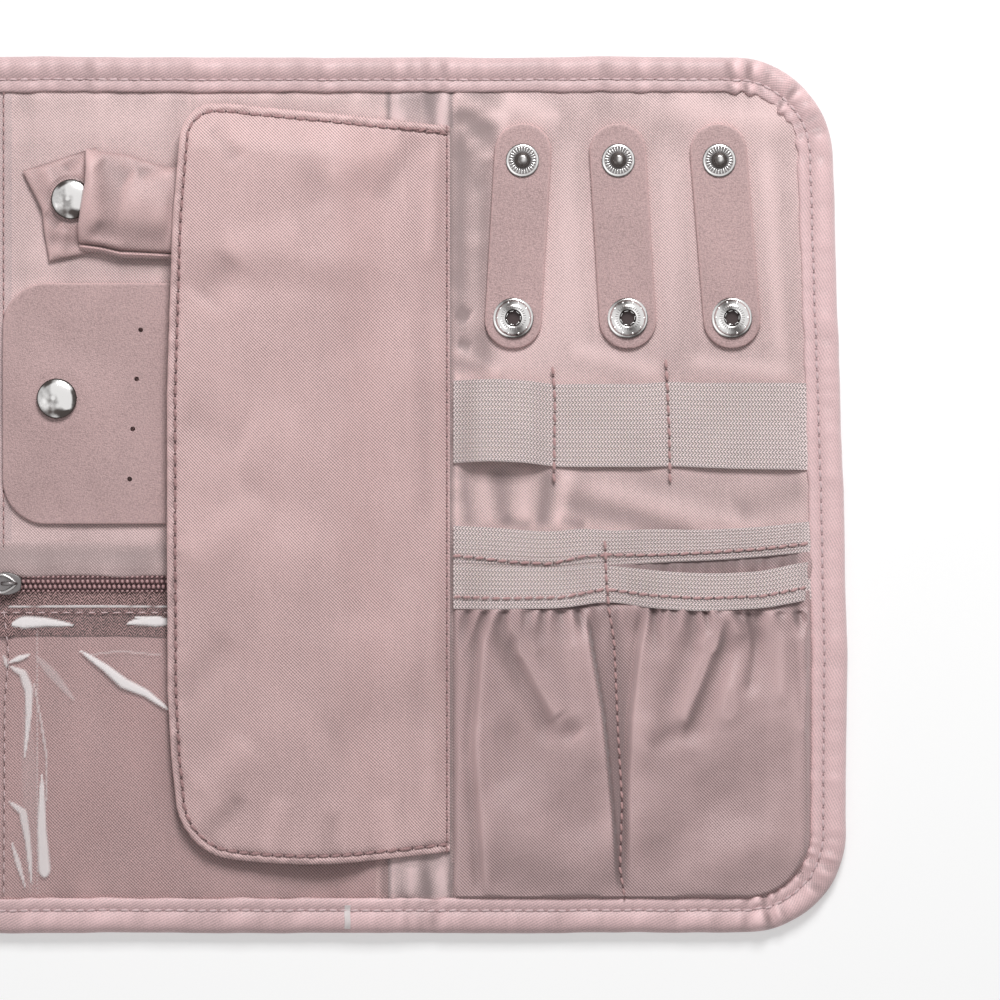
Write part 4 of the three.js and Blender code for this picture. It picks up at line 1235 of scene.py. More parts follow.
# %% Sweeping the section
def swept(indices):
    """The binding's outer and inner points for some stretch of the path."""
    x, y, nx, ny = PATH[indices].T
    run = PATH_RUN[indices]
    turning = (np.abs(nx) > 0.02) & (np.abs(ny) > 0.02)
    gather = running_mean(np.where(turning, 1.0, 0.0), 7)
    soft = np.clip(spine_share(x), 0, 1) * (np.abs(ny) > 0.5)
    pucker = 0.24 + 1.15 * gather + 0.6 * soft
    radius = PATH_RUN[-1] / (2 * math.pi)
    round_x, round_y = radius * np.cos(run / radius), radius * np.sin(run / radius)
    short = field(round_x, round_y, 5.2, 31)
    middle = field(round_x, round_y, 12.0, 32)
    long = field(round_x, round_y, 42.0, 33)
    inset = SECTION[:, 0][None, :]
    height = np.repeat(SECTION[:, 1][None, :], len(run), 0)
    share = inset / BINDING_WIDTH
    roll = bell(inset - 3.4, 2.6)
    lip = bell(inset - 8.6, 1.1)
    number = np.arange(len(SECTION))[None, :]
    upper = len(BINDING_TOP)
    is_top = ((number < upper) | (number > upper + len(BINDING_UNDER) + 3)) * 1.0
    swell = (0.34 * middle + 0.9 * pucker * short)[:, None] * roll
    swell = swell + (0.8 * pucker * short + 0.16 * middle)[:, None] * lip
    overlap = smooth((x - BINDING_JOIN) / 0.5) * smooth((RIGHT_SPINE_CENTRE - x) / 8) * (ny > 0.5)
    swell = swell + 0.40 * overlap[:, None]
    height = height + is_top * np.clip(swell, -0.8, 0.9)
    wander = (0.35 * long + 0.16 * middle)[:, None] * (1 - share) * 0.7
    wander = wander + (0.30 * middle + 0.7 * pucker * short)[:, None] * share**3 * 1.1
    move = inset + wander * 0.8
    px = x[:, None] + nx[:, None] * move
    py = y[:, None] + ny[:, None] * move
    px = np.where(px > RIGHT_SPINE_CENTRE, lean(px, py), px)
    # Painted shade and sheen: the top stretch is painted darker and the right end lighter, as the lamp falls
    # on them; the stitch groove is darker, the swells lighter, and the puckers show a painted sheen along the
    # strip.
    tilt = np.gradient(swell, axis=0) / np.maximum(np.gradient(run), 0.1)[:, None]
    groove = bell(inset - STITCH_INSET, 1.2)
    side = (0.20 * np.clip(-ny, 0, 1) + 0.12 * np.clip(nx, -1, 0))[:, None]
    paint = {"hollow": np.clip(side - 0.4 * swell, -1, 1) + groove * 0.16, "slope": np.clip(tilt, -1, 1)}
    return stacked(px, py, np.maximum(height, 0.02)), run, paint


def binding_stretch(name, indices, seam, first, second, *nodes, extra=()):
    """One stretch of binding with its topstitching."""
    points, run, paint = swept(indices)
    rows, columns = points.shape[:2]
    around = run_along(SECTION)
    index = np.arange(rows * columns).reshape(rows, columns)
    after = np.roll(index, -1, 1)
    faces = np.stack([index[:-1], index[1:], after[1:], after[:-1]], -1).reshape(-1, 4)
    ends = [list(index[0]), list(index[-1][::-1])]
    uv = np.stack(np.broadcast_arrays(run[:, None], around[None, :]), -1).reshape(-1, 2)
    flat = points.reshape(-1, 3)
    piece = new_piece(name, flat, [*faces, *ends], [binding_cloth], run=uv,
                      paint={key: values.ravel() for key, values in paint.items()})
    turn_out(piece)
    line = points[:, STITCH_INDEX] + (0, 0, 0.16)
    sewn = stitches(name + "_stitches", line, pale_thread, 3.1, 2.6, 0.85, 0.55, seed=5, hollow=pale_stitch_hole_shade)
    piece = joined(piece, sewn, *extra)
    bend(piece, seam, first, second)
    dress(piece, None, nodes)
    flat = ((run[-1] - run[0]) * MM, BINDING_CUT * MM)


def turn_out(piece):
    """Makes a closed mesh's faces point outwards."""
    work = bmesh.new()
    work.from_mesh(piece.data)
    bmesh.ops.recalc_face_normals(work, faces=work.faces)
    work.to_mesh(piece.data)
    work.free()
    piece.data.set_sharp_from_angle(angle=SHARP_ANGLE)


def path_between(x_from, x_to, upper):
    """The path's indices along the top or the bottom between two places."""
    level = TOP_EDGE if upper else BOTTOM_EDGE
    on = np.abs(PATH[:, 1] - level) < 0.01
    inside = (PATH[:, 0] >= min(x_from, x_to) - 0.01) & (PATH[:, 0] <= max(x_from, x_to) + 0.01)
    found = np.flatnonzero(on & inside)
    return found[found < len(PATH) - 1]


def raw_end():
    """The cut end of the binding's strip, whose pale raw edge shows below the flap."""
    x, y = np.meshgrid(steps(at_x(344.5), at_x(350.5), 0.4), steps(at_y(929), at_y(905), 0.6))
    z = np.interp(y - BOTTOM_EDGE, *zip(*BINDING_TOP[::-1]))
    upper = stacked(x + 0.12 * field(x * 0, y, 5, 37), y, z + 0.32)
    return closed_sheet("raw_end", upper, stacked(x, y, z - 0.2), [raw_edge])


def make_binding():
    """All six stretches: four along the spines and the middle panel, and one round each end."""
    for upper, label in ((True, "top"), (False, "bottom")):
        left_part = path_between(LEFT_SPINE_CENTRE, MIDDLE_CENTRE, upper)
        right_part = path_between(MIDDLE_CENTRE, RIGHT_SPINE_CENTRE, upper)
        binding_stretch(f"binding_{label}_left", left_part, MIDDLE_LEFT_SEAM,
                        "left_spine", "middle_panel", f"binding_left_spine_{label}")
        binding_stretch(f"binding_{label}_right", right_part, MIDDLE_RIGHT_SEAM, "middle_panel",
                        "right_spine", f"binding_middle_{label}", f"binding_right_spine_{label}",
                        extra=() if upper else [raw_end()])
    last_right = path_between(RIGHT_SPINE_CENTRE, RIGHT_EDGE, False)
    around_right = np.arange(last_right[0], len(PATH))
    binding_stretch("binding_right_end", around_right, RIGHT_PANEL_SEAM, "right_spine", "right_panel",
                    "binding_right")
    first_left = path_between(LEFT_EDGE, LEFT_SPINE_CENTRE, True)
    last_left = path_between(LEFT_EDGE, LEFT_SPINE_CENTRE, False)
    around_left = np.arange(first_left[0], last_left[-1] + 1)
    binding_stretch("binding_left_end", around_left, LEFT_PANEL_SEAM, "left_panel", "left_spine",
                    "binding_left")


make_binding()
print("binding made,", round(PATH_RUN[-1]), "mm round")
# %% [markdown]
# ## The flap
#
# Two layers of cloth are sewn face to face, turned and topstitched, then sewn into the right seam.
# It is drawn as a true rectangle first, because the rolled edge and the stitch line are easy to
# place there, and then eased into the slightly uneven outline of the real one.

# %% The flap's outline
FLAP_LEFT = at_x(168)
FLAP_RIGHT = RIGHT_PANEL_SEAM - 0.6
FLAP_BOTTOM = at_y(862)
FLAP_TOP = at_y(104)
FLAP_HINGE = hinge("flap_open")[0]
FLAP_ROOT_HINGE = hinge("flap_root_bend")[0]
FLAP_CUT = (FLAP_HINGE + FLAP_ROOT_HINGE) / 2
FLAP_RADIUS = 10
FLAP_LOW_RADIUS = 16
FLAP_THICK = 1.5
FLAP_STITCH = 2.4
FLAP_LEFT_SIDE = ((104, 15), (150, 12), (220, 6), (300, 3), (400, 0), (700, 0), (770, 4), (806, 8), (862, 8))
FLAP_TOP_SIDE = ((168, 104), (215, 104), (300, 112), (380, 119), (450, 126))
FLAP_BOTTOM_SIDE = ((168, 850), (210, 856.5), (240, 860.5), (270, 862.5), (300, 863.5), (332, 863),
                    (369, 860.5), (405, 857), (450, 852))


def flap_place(x, y):
    """Eases the flap's rectangle into its real outline."""
    share_y = (y - FLAP_BOTTOM) / (FLAP_TOP - FLAP_BOTTOM)
    px = picture_x(x)
    top = at_y(np.interp(px, *zip(*FLAP_TOP_SIDE)))
    bottom = at_y(np.interp(px, *zip(*FLAP_BOTTOM_SIDE)))
    real_y = blend_between(bottom, top, share_y)
    py = PICTURE_MIDDLE - (y - VIEW_Y) / PIXEL
    inward = PIXEL * np.interp(py, *zip(*FLAP_LEFT_SIDE))
    share_x = (x - FLAP_LEFT) / (FLAP_RIGHT - FLAP_LEFT)
    return x + inward * np.clip(1 - share_x, 0, 1) ** 1.5, real_y


FLAP_FOLDS = [
    ((300, 125), (320, 210), 5.0, -0.22),
    ((215, 130), (240, 160), 2.6, -0.35),
    ((205, 300), (235, 262), 5.0, -0.45),
    ((230, 250), (300, 235), 6.0, 0.30),
    ((185, 420), (245, 440), 6.0, -0.35),
    ((190, 560), (260, 500), 7.0, 0.40),
    ((240, 480), (420, 560), 10.0, -0.40),
    ((260, 640), (420, 640), 11.0, 0.40),
    ((330, 740), (440, 700), 9.0, -0.40),
    ((180, 700), (230, 640), 5.0, -0.38),
    ((200, 790), (250, 745), 6.0, 0.40),
    ((205, 838), (245, 800), 3.0, -0.45),
    ((265, 850), (285, 800), 3.2, 0.30),
    ((330, 856), (335, 815), 3.4, -0.30),
    ((395, 855), (388, 800), 3.6, 0.26),
    ((400, 140), (330, 180), 4.5, 0.32),
    ((420, 135), (380, 200), 3.6, -0.34),
    ((436, 150), (430, 260), 2.6, 0.30),
    ((424, 300), (428, 520), 3.4, -0.22),
    ((436, 600), (432, 800), 2.8, 0.22),
]
SEAM_LEVEL = LINING_LEVEL + 0.5
FLAP_LOW = highest("flap_root")[2]
CARD_RISE = highest("flap_front")[2] - FLAP_LOW


def flap_edge(x, y):
    """How far a place lies inside the flap's edge."""
    box = (FLAP_LEFT, None, FLAP_BOTTOM, FLAP_TOP)
    low = inside_distance(x, y, *box, FLAP_LOW_RADIUS, FLAP_LOW_RADIUS)
    return np.where(y < 0, low, inside_distance(x, y, *box, FLAP_RADIUS, FLAP_RADIUS))


def flap_top(x, y):
    """The height of the flap's upper face over its rectangle."""
    over_bar = smooth((y - at_y(290)) / 12) * smooth((at_y(118) - y) / 10)
    rise = (CARD_RISE - 1.6) + 1.4 * over_bar
    low_part = smooth((at_y(530) - y) / 40)
    rise = rise - 2.8 * low_part * smooth((FLAP_HINGE - x) / 60)
    run = smooth((FLAP_HINGE - x) / 20)
    rise = rise - 1.6 * smooth((y - at_y(150)) / 12)
    sag = 0.9 * np.exp(-flap_edge(x, y) / 7.0)
    z = FLAP_LOW + (rise - sag) * run
    at_fold = bell(x - FLAP_HINGE + 1.0, 4.0)
    z = z + flap_relief(x, y) * (1 - 0.6 * at_fold)
    tuck = smooth((x - (FLAP_RIGHT - 6.0)) / 6.0)
    return z - (FLAP_LOW - SEAM_LEVEL - 0.4) * tuck**2


def flap_relief(x, y):
    """The folds, the soft unevenness, the stitched groove and the rolled rim."""
    real_x, real_y = flap_place(x, y)
    z = 1.7 * creases(real_x, real_y, FLAP_FOLDS) * smooth((FLAP_RIGHT - x) / 6)
    z = z + 0.30 * field(x, y, 34, 41) + 0.04 * field(x, y, 11, 42)
    edge = flap_edge(x, y)
    near = bell(edge - 1.2, 2.6)
    z = z + near * (0.26 * field(x, y, 7.0, 43) + 0.22 * field(x, y, 3.4, 44))
    z = z - 0.50 * bell(edge - FLAP_STITCH, 0.7)
    return z + rolled(edge, 1.3, 0.75)


def flap_paint(x, y):
    """The flap's painted shade and sheen from its folds, with more painted shade low down and towards its
    hinge.
    """
    shade = 0.10 * field(x, y, 55, 46) + 0.16 * smooth((at_y(480) - y) / 60) - 0.02
    shade = shade + 0.20 * smooth((x - (FLAP_RIGHT - 14)) / 14)
    return fold_paint(x, flap_relief(x, y), 5, 1.5, shade)


def flap_points(x, y, drop=0.0):
    """The flap's upper face over its rectangle, or its lower face that much below."""
    real_x, real_y = flap_place(x, y)
    z = flap_top(x, y) - drop
    if np.any(drop):
        z = z - rolled(flap_edge(x, y), 1.2, 0.5)
        z = np.maximum(z, LINING_LEVEL + 0.12)
    return stacked(real_x, real_y, z)


# %% [markdown]
# The stitch line keeps the same distance from the edge all round, so its points come from the same
# rectangle: along the top, round both left corners and back along the bottom. The flap turns at two
# hinges, its root at the spine and its hem, so it is cut between them.

# %% Sewing the flap
RIM = np.array([0.0, 0.25, 0.6, 1.1, 1.6, 2.0, 2.4, 2.8, 3.2])
LEFT_RIM = [0, 0.25, 0.6, 1.1, 1.7, 2.4, 3.1]
TOPSTITCH = (3.3, 2.9, 0.95, 0.6)


def flap_stitch_path():
    """The stitch line's x and y: along the top, down the left side and back along the bottom."""
    radius, low_radius = FLAP_RADIUS - FLAP_STITCH, FLAP_LOW_RADIUS - FLAP_STITCH
    left, top, bottom = FLAP_LEFT + FLAP_STITCH, FLAP_TOP - FLAP_STITCH, FLAP_BOTTOM + FLAP_STITCH
    turn = np.linspace(0, math.pi / 2, 14)
    runs = [
        (steps(FLAP_RIGHT - 2.0, left + radius, 0.8), top),
        (left + radius - radius * np.sin(turn), top - radius + radius * np.cos(turn)),
        (left, steps(top - radius, bottom + low_radius, 0.8)),
        (left + low_radius - low_radius * np.cos(turn), bottom + low_radius - low_radius * np.sin(turn)),
        (steps(left + low_radius, FLAP_RIGHT - 2.0, 0.8), bottom),
    ]
    return np.concatenate([np.stack(np.broadcast_arrays(*run)) for run in runs], 1)


def flap_grids():
    """The grids of both halves: the first starts at the rounded left end, and both crowd at the rims."""
    rows = rounded_rows(FLAP_BOTTOM, FLAP_TOP, FLAP_LOW_RADIUS, FLAP_RADIUS, 0.95)
    rows = np.unique(np.round(np.concatenate([rows, FLAP_BOTTOM + RIM, FLAP_TOP - RIM]), 3))
    shares = np.concatenate([LEFT_RIM, np.linspace(4.0, FLAP_CUT - FLAP_LEFT, 62)]) / (FLAP_CUT - FLAP_LEFT)
    insets = [corner_inset(rows, FLAP_BOTTOM, FLAP_TOP, radius) for radius in (FLAP_LOW_RADIUS, FLAP_RADIUS)]
    low_x = FLAP_LEFT + np.where(rows < 0, *insets)
    x = low_x[:, None] + (FLAP_CUT - low_x)[:, None] * shares[None, :]
    main = (x, np.repeat(rows[:, None], len(shares), 1))
    return main, np.meshgrid(steps(FLAP_CUT, FLAP_RIGHT, 0.9), rows)


def flap_half(name, x, y):
    """Both layers of one half of the flap as a closed sheet."""
    upper, lower = flap_points(x, y), flap_points(x, y, FLAP_THICK)
    return closed_sheet(name, upper, lower, [flap_cloth], paint=flap_paint(x, y))


def make_flap():
    """Both halves with their rows of stitches."""
    main_grid, root_grid = flap_grids()
    main = flap_half("flap_cloth", *main_grid)
    root = flap_half("flap_root_cloth", *root_grid)
    line_x, line_y = flap_stitch_path()
    on = flap_points(line_x, line_y) + (0, 0, 0.30)
    on_main = np.flatnonzero(line_x <= FLAP_CUT)
    first, last = on_main[0], on_main[-1] + 1
    main = joined(main, stitches("flap_stitches", on[first:last], rose_thread, *TOPSTITCH, seed=2, lean=0.14))
    seam_y = steps(FLAP_BOTTOM + 1, FLAP_TOP - 1, 2.0)
    seam = flap_points(np.full_like(seam_y, FLAP_RIGHT - 0.9), seam_y) + (0, 0, 0.12)
    knot = on[:16] + (0, 0.3, 0.15)
    root = joined(root, stitches("root_seam", seam, rose_thread, 3.3, 2.6, 0.6, 0.45, seed=6),
                  stitches("root_stitches_top", on[:first], rose_thread, *TOPSTITCH, seed=3),
                  stitches("root_knot", knot, rose_thread, 1.9, 2.4, 0.85, 0.7, seed=8, lean=0.5),
                  stitches("root_stitches_bottom", on[last:], rose_thread, *TOPSTITCH, seed=4))
    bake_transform(root)
    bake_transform(main)
    dress(main, None, ["flap_front", "flap_backing", "flap_hem"])
    dress(root, None, ["flap_root"])
    height = (FLAP_TOP - FLAP_BOTTOM) * MM
    (FLAP_CUT - FLAP_LEFT) * MM


make_flap()
print("flap made")
# %% [markdown]
# ## Snaps
#
# Spring snaps are turned and pressed sheet metal, so a profile spun round its axis gives each one: a
# smooth cap, a flat stud plate with a ball post, and a domed socket with a spring in its mouth. The
# ridges on the plate and the small pips on the socket repeat round a circle, which the bead recipe
# does with its line closed into a ring.

# %% Turned metal
TURNS = 56
STUD_PROFILE = [
    (0, 0), (4.55, 0), (4.75, 0.18), (4.72, 0.5), (4.4, 0.78), (4.0, 0.86), (2.9, 0.62), (2.3, 0.62),
    (2.1, 0.95), (1.75, 1.0), (1.35, 1.05), (1.2, 1.4), (1.28, 1.75), (1.52, 2.05), (1.6, 2.4),
    (1.42, 2.75), (0.95, 2.95), (0.4, 2.9), (0, 2.82),
]
SOCKET_PROFILE = [
    (0, 0.25), (2.2, 0.25), (2.2, 0.02), (5.5, 0.02), (5.78, 0.25), (5.72, 0.75), (5.35, 1.05),
    (5.15, 1.05), (4.85, 1.45), (4.3, 1.95), (3.6, 2.35), (3.0, 2.5), (2.55, 2.42), (2.3, 2.15),
    (2.2, 1.7), (2.18, 0.55), (0, 0.5),
]
CAP_RADIUS = 5.7
CAP_UNDER = 1.5


def turned(name, profile, centre, finishes, slots=None, reflection_and_shade=None):
    """Spins a profile of radius and height, from the bottom of the axis round to its top."""
    profile = np.array(profile, float)
    inner = profile[1:-1]
    angles = np.linspace(0, 2 * math.pi, TURNS, endpoint=False)
    ring = stacked(np.outer(np.cos(angles), inner[:, 0]), np.outer(np.sin(angles), inner[:, 0]), inner[:, 1])
    count = len(inner)
    points = np.concatenate([ring.reshape(-1, 3), [[0, 0, profile[0, 1]], [0, 0, profile[-1, 1]]]])
    faces = []
    for i in range(TURNS):
        after = (i + 1) % TURNS
        for k in range(count - 1):
            faces.append([i * count + k, after * count + k, after * count + k + 1, i * count + k + 1])
        faces.append([TURNS * count, after * count, i * count])
        faces.append([TURNS * count + 1, i * count + count - 1, after * count + count - 1])
    if slots is not None:
        slots = [*slots, slots[0], slots[-1]] * TURNS
    # Painted reflection and shade, written on the points for the metal's finish.
    paint = None if reflection_and_shade is None else {"reflection_and_shade": reflection_and_shade(points)}
    return new_piece(name, points + centre, faces, finishes, slots, paint=paint, sharp=0.7)


def ring_of(name, centre, radius, count, size, finish, turn=math.pi / 2):
    """Small beads round a circle; turned a quarter, they lie like spokes."""
    angles = np.linspace(0, 2 * math.pi, 90, endpoint=False)
    line = stacked(centre[0] + radius * np.cos(angles), centre[1] + radius * np.sin(angles), centre[2])
    length, width, height = size
    pitch = 2 * math.pi * radius / count
    return follow(beads, name, line, finish, closed=True, Pitch=pitch * 0.999, Length=length, Width=width,
                  Height=height, Turn=turn, Unevenness=0.0)


def middle_of(node):
    """The middle of a node, at its lowest level."""
    low, high = lowest(node), highest(node)
    return np.array([(low[0] + high[0]) / 2, (low[1] + high[1]) / 2, low[2]])


def streaks(points, direction):
    """Two dark streaks of painted reflection across a small turned part, as if it mirrored a dark room on
    both sides.
    """
    angle = np.arctan2(points[:, 1], points[:, 0])
    return (0.5 + 0.5 * np.cos(2 * (angle - direction))) ** 2, np.hypot(points[:, 0], points[:, 1])


def spot(across, up, reach_x, reach_y):
    """A soft oval spot, from 1 at its middle to 0."""
    return bell(across, reach_x) * bell(up, reach_y)


def reflection_and_shade_on_stud(points):
    """Painted reflection and shade on a stud: a bright plate with a dark line round it, a dark hollow round
    the post, and a half dark ball.
    """
    streak, out = streaks(points, 2.2)
    ball = 0.80 - 0.80 * spot(points[:, 0] - 0.35, points[:, 1] - 0.35, 0.55, 0.8)
    plate = 0.10 + 0.25 * streak + 0.8 * smooth((out - 4.58) / 0.12)
    return np.clip(np.where(out < 1.7, ball, np.where(out < 2.5, 0.95, plate)), 0, 1)


def reflection_and_shade_on_socket(points):
    """Painted reflection and shade on a socket: a streaked dome with a darker rim at its right, and a dark
    mouth.
    """
    streak, out = streaks(points, 1.9)
    rim = smooth((out - 5.45) / 0.2) * (0.15 + 0.6 * smooth((points[:, 0] - points[:, 1]) / 6))
    return np.clip(0.10 + 0.62 * streak + rim + smooth((2.4 - out) / 0.25), 0, 1)


def make_stud(node, body, down=False):
    """A stud with its ball up, or down on the back of the roll."""
    base = middle_of(node)
    rise = highest(node)[2] - base[2]
    scale = rise / 3.0
    profile = STUD_PROFILE
    slots = [int(2.0 < (a[0] + b[0]) / 2 < 4.1) for a, b in zip(profile[1:-2], profile[2:-1])]
    if down:
        base = base + (0, 0, rise)
        scale = -scale
        profile, slots = profile[::-1], slots[::-1]
    profile = [(radius, height * scale) for radius, height in profile]
    stud = turned(node + "_metal", profile, base, [cap_nickel, nickel_dark], slots, reflection_and_shade_on_stud)
    ridges = ring_of("ridges", base + (0, 0, 0.74 * scale), 3.25, 26, (1.9, 0.42, 0.62), nickel_bright)
    dress(joined(stud, ridges), body, [node])


def make_socket(node, body):
    """A domed socket with pips, ribs and a spring in its mouth."""
    base = middle_of(node)
    scale = (highest(node)[2] - base[2]) / 2.5
    # The mouth's wall and floor take the dark finish, as painted shade.
    slots = [0] * (len(SOCKET_PROFILE) - 4) + [1]
    profile = [(radius, height * scale) for radius, height in SOCKET_PROFILE]
    socket = turned(node + "_metal", profile, base, [cap_nickel, mouth_shade], slots, reflection_and_shade_on_socket)
    pips = ring_of("pips", base + (0, 0, 1.74 * scale), 4.55, 9, (0.75, 0.75, 0.5), nickel_bright, 0.0)
    ribs = ring_of("ribs", base + (0, 0, 2.42 * scale), 3.2, 30, (1.1, 0.22, 0.3), nickel_dark)
    spring = ring_of("spring", base + (0, 0, 1.5 * scale), 1.98, 6, (1.7, 0.34, 0.45), nickel_bright, 0.0)
    dress(joined(socket, pips, ribs, spring), body, [node])


def reflection_and_shade_on_cap(points):
    """Where a cap is painted dark as a reflection: at its middle, round its rim and low on its right, except
    at two small painted glints.
    """
    x, y = points[:, 0] / CAP_RADIUS, points[:, 1] / CAP_RADIUS
    out = np.hypot(x, y)
    middle = 0.60 * spot(x + 0.10, y + 0.14, 0.24, 0.36)
    low = 0.70 * spot(x - 0.15, y + 0.66, 0.42, 0.20)
    toward = (0.92 * x - 0.38 * y) / np.maximum(out, 0.01)
    crescent = smooth((out - 0.70) / 0.15) * smooth((toward - 0.35) / 0.4)
    left = 0.42 * smooth((-x - 0.12) / 0.25) + 0.25 * smooth((-y - 0.35) / 0.3)
    top = 0.5 * smooth((out - 0.72) / 0.12) * smooth((y / np.maximum(out, 0.01) - 0.55) / 0.25)
    rim = smooth((out - 0.93) / 0.05)
    small, large = math.sqrt(0.006), math.sqrt(0.02)
    glints = spot(x + 0.16, y - 0.02, small, small) + spot(x - 0.62, y + 0.42, large, large)
    return np.clip(middle + low + 0.85 * crescent + left + top + rim - glints, 0, 1)


def make_cap(node, body, held_thick):
    """The polished dome above the cloth, with the socket below it."""
    base = middle_of(node)
    top = highest(node)[2] - base[2]
    dome_base = CAP_UNDER + held_thick
    dome = [(5.72 * math.cos(a), dome_base + 0.12 + (top - dome_base - 0.12) * math.sin(a))
            for a in np.linspace(0.0, math.pi / 2, 24)[:-1]]
    profile = [(0, 1.0), (1.9, 1.0), (1.9, 0), (4.7, 0), (4.8, 0.3), (4.6, 1.3), (2.7, CAP_UNDER),
               (2.7, dome_base - 0.02), (5.4, dome_base - 0.02), (CAP_RADIUS, dome_base + 0.02),
               *dome, (0, top)]
    cap = turned(node + "_metal", profile, base, [cap_nickel], reflection_and_shade=reflection_and_shade_on_cap)
    dress(cap, body, [node])


for number in (1, 2, 3):
    make_stud(f"strap_stud_{number}", "right_panel")
    make_socket(f"strap_socket_{number}", f"necklace_strap_{number}")
make_stud("ring_bar_stud", "middle_panel")
make_stud("earring_card_stud", "middle_panel")
make_cap("ring_bar_snap_cap", "ring_bar", 1.1)
make_cap("earring_card_snap_cap", "earring_card", 1.2)
make_socket("closing_strap_socket", "closing_strap")
print("snaps made")
# %% [markdown]
# ## Necklace straps
#
# Each strap is one strip of leatherette: its upper half is sewn down, and its lower half folds up at
# the middle. The strip is drawn as one piece. The cut edges are square with a slightly worn corner,
# and the mesh is painted along them, where the leather is a little paler.


# %% Leather strips
STRIP_ACROSS = np.array([-1, -0.97, -0.9, -0.8, -0.6, -0.35, 0, 0.35, 0.6, 0.8, 0.9, 0.97, 1])
STRIP_RIM = np.array([0.15, 0.5])
STRAP_HALF, STRAP_BELOW, STRAP_ABOVE = 8.1, 8.6, 10.5
STRAP_BEND = 4.2


def leather_strip(name, centre, tilt, half, low_y, high_y, low_z, thick, square_root=False):
    """A flat strip with round ends, in its own axes and then turned to its place."""
    radius = half * 0.98
    past = 1000 if square_root else 0
    rows = rounded_rows(low_y, high_y, radius, radius, 0.8)
    rows = np.unique(np.concatenate([rows, low_y + STRIP_RIM, high_y - STRIP_RIM]))
    inset = corner_inset(rows, low_y, high_y + past, radius)
    x = (half - inset)[:, None] * STRIP_ACROSS[None, :]
    y = np.repeat(rows[:, None], len(STRIP_ACROSS), 1)
    edge = inside_distance(x, y, -half, half, low_y, high_y + past, radius, radius)
    top = low_z + thick + rolled(edge, 0.55, 0.42) + 0.05 * field(x, y, 9, 51)
    bottom = low_z + 0.05 - rolled(edge, 0.4, 0.2)
    cos, sin = math.cos(tilt), math.sin(tilt)
    x, y = centre[0] + x * cos - y * sin, centre[1] + x * sin + y * cos
    return closed_sheet(name, stacked(x, y, top), stacked(x, y, bottom), [leather_cloth],
                        paint={"edge": bell(edge, 0.35)})


def make_strap(number):
    """One necklace strap, from above its stud to below its socket."""
    stud, socket = middle_of(f"strap_stud_{number}"), middle_of(f"strap_socket_{number}")
    anchor, tongue = f"strap_anchor_{number}", f"strap_tongue_{number}"
    run = stud[:2] - socket[:2]
    distance = math.hypot(*run)
    tilt = math.atan2(-run[0], run[1])
    low_z, high_z = lowest(anchor)[2], highest(anchor)[2]
    strap = leather_strip(f"necklace_strap_{number}_leather", stud, tilt, STRAP_HALF,
                          -distance - STRAP_BELOW, STRAP_ABOVE, low_z, high_z - low_z)
    middle = stud[:2] - run / 2
    offset = run / distance * STRAP_BEND
    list((middle + offset) * MM)
    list((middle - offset) * MM)
    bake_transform(strap)
    dress(strap, None, [anchor, tongue])


for number in (1, 2, 3):
    make_strap(number)

# %% [markdown]
# ## Elastic bands
#
# A band's ribs run its whole length, so its grid has five rows to each rib. It is sewn flat at each
# stitch line and stands up between them, more on the first loop, where a bottle goes. The band's edges
# follow the picture, drawn in a little wherever a stitch line crosses.

# %% Ribbed elastic
BAND_LEFT = RIGHT_PANEL_SEAM + 0.4
BAND_RIGHT = RIGHT_EDGE - BINDING_WIDTH + 1.5
FIRST_DIVIDER = RIGHT_PANEL_SEAM + 0.261 * (RIGHT_EDGE - RIGHT_PANEL_SEAM)
SECOND_DIVIDER = RIGHT_PANEL_SEAM + 0.553 * (RIGHT_EDGE - RIGHT_PANEL_SEAM)
POCKET_DIVIDER = RIGHT_PANEL_SEAM + 0.391 * (RIGHT_EDGE - RIGHT_PANEL_SEAM)
EDGE_SHARE = 0.28
SEWN_LIFT = 0.14


def arched(x, stops, rises):
    """Stands up between seams and lies flat at them."""
    total = np.zeros_like(x)
    for left, right, rise in zip(stops[:-1], stops[1:], rises):
        share = (x - left) / (right - left)
        inside = (share >= 0) & (share <= 1)
        shape = smooth(share / EDGE_SHARE) * smooth((1 - share) / EDGE_SHARE)
        total = np.where(inside, rise * shape, total)
    return total


def edge_line(points, x):
    """An edge through picture points, as y for each x, with the corners smoothed."""
    px, py = zip(*points)
    fine = np.linspace(px[0], px[-1], 400)
    line = running_mean(np.interp(fine, px, py), 15)
    return at_y(np.interp(picture_x(x), fine, line))


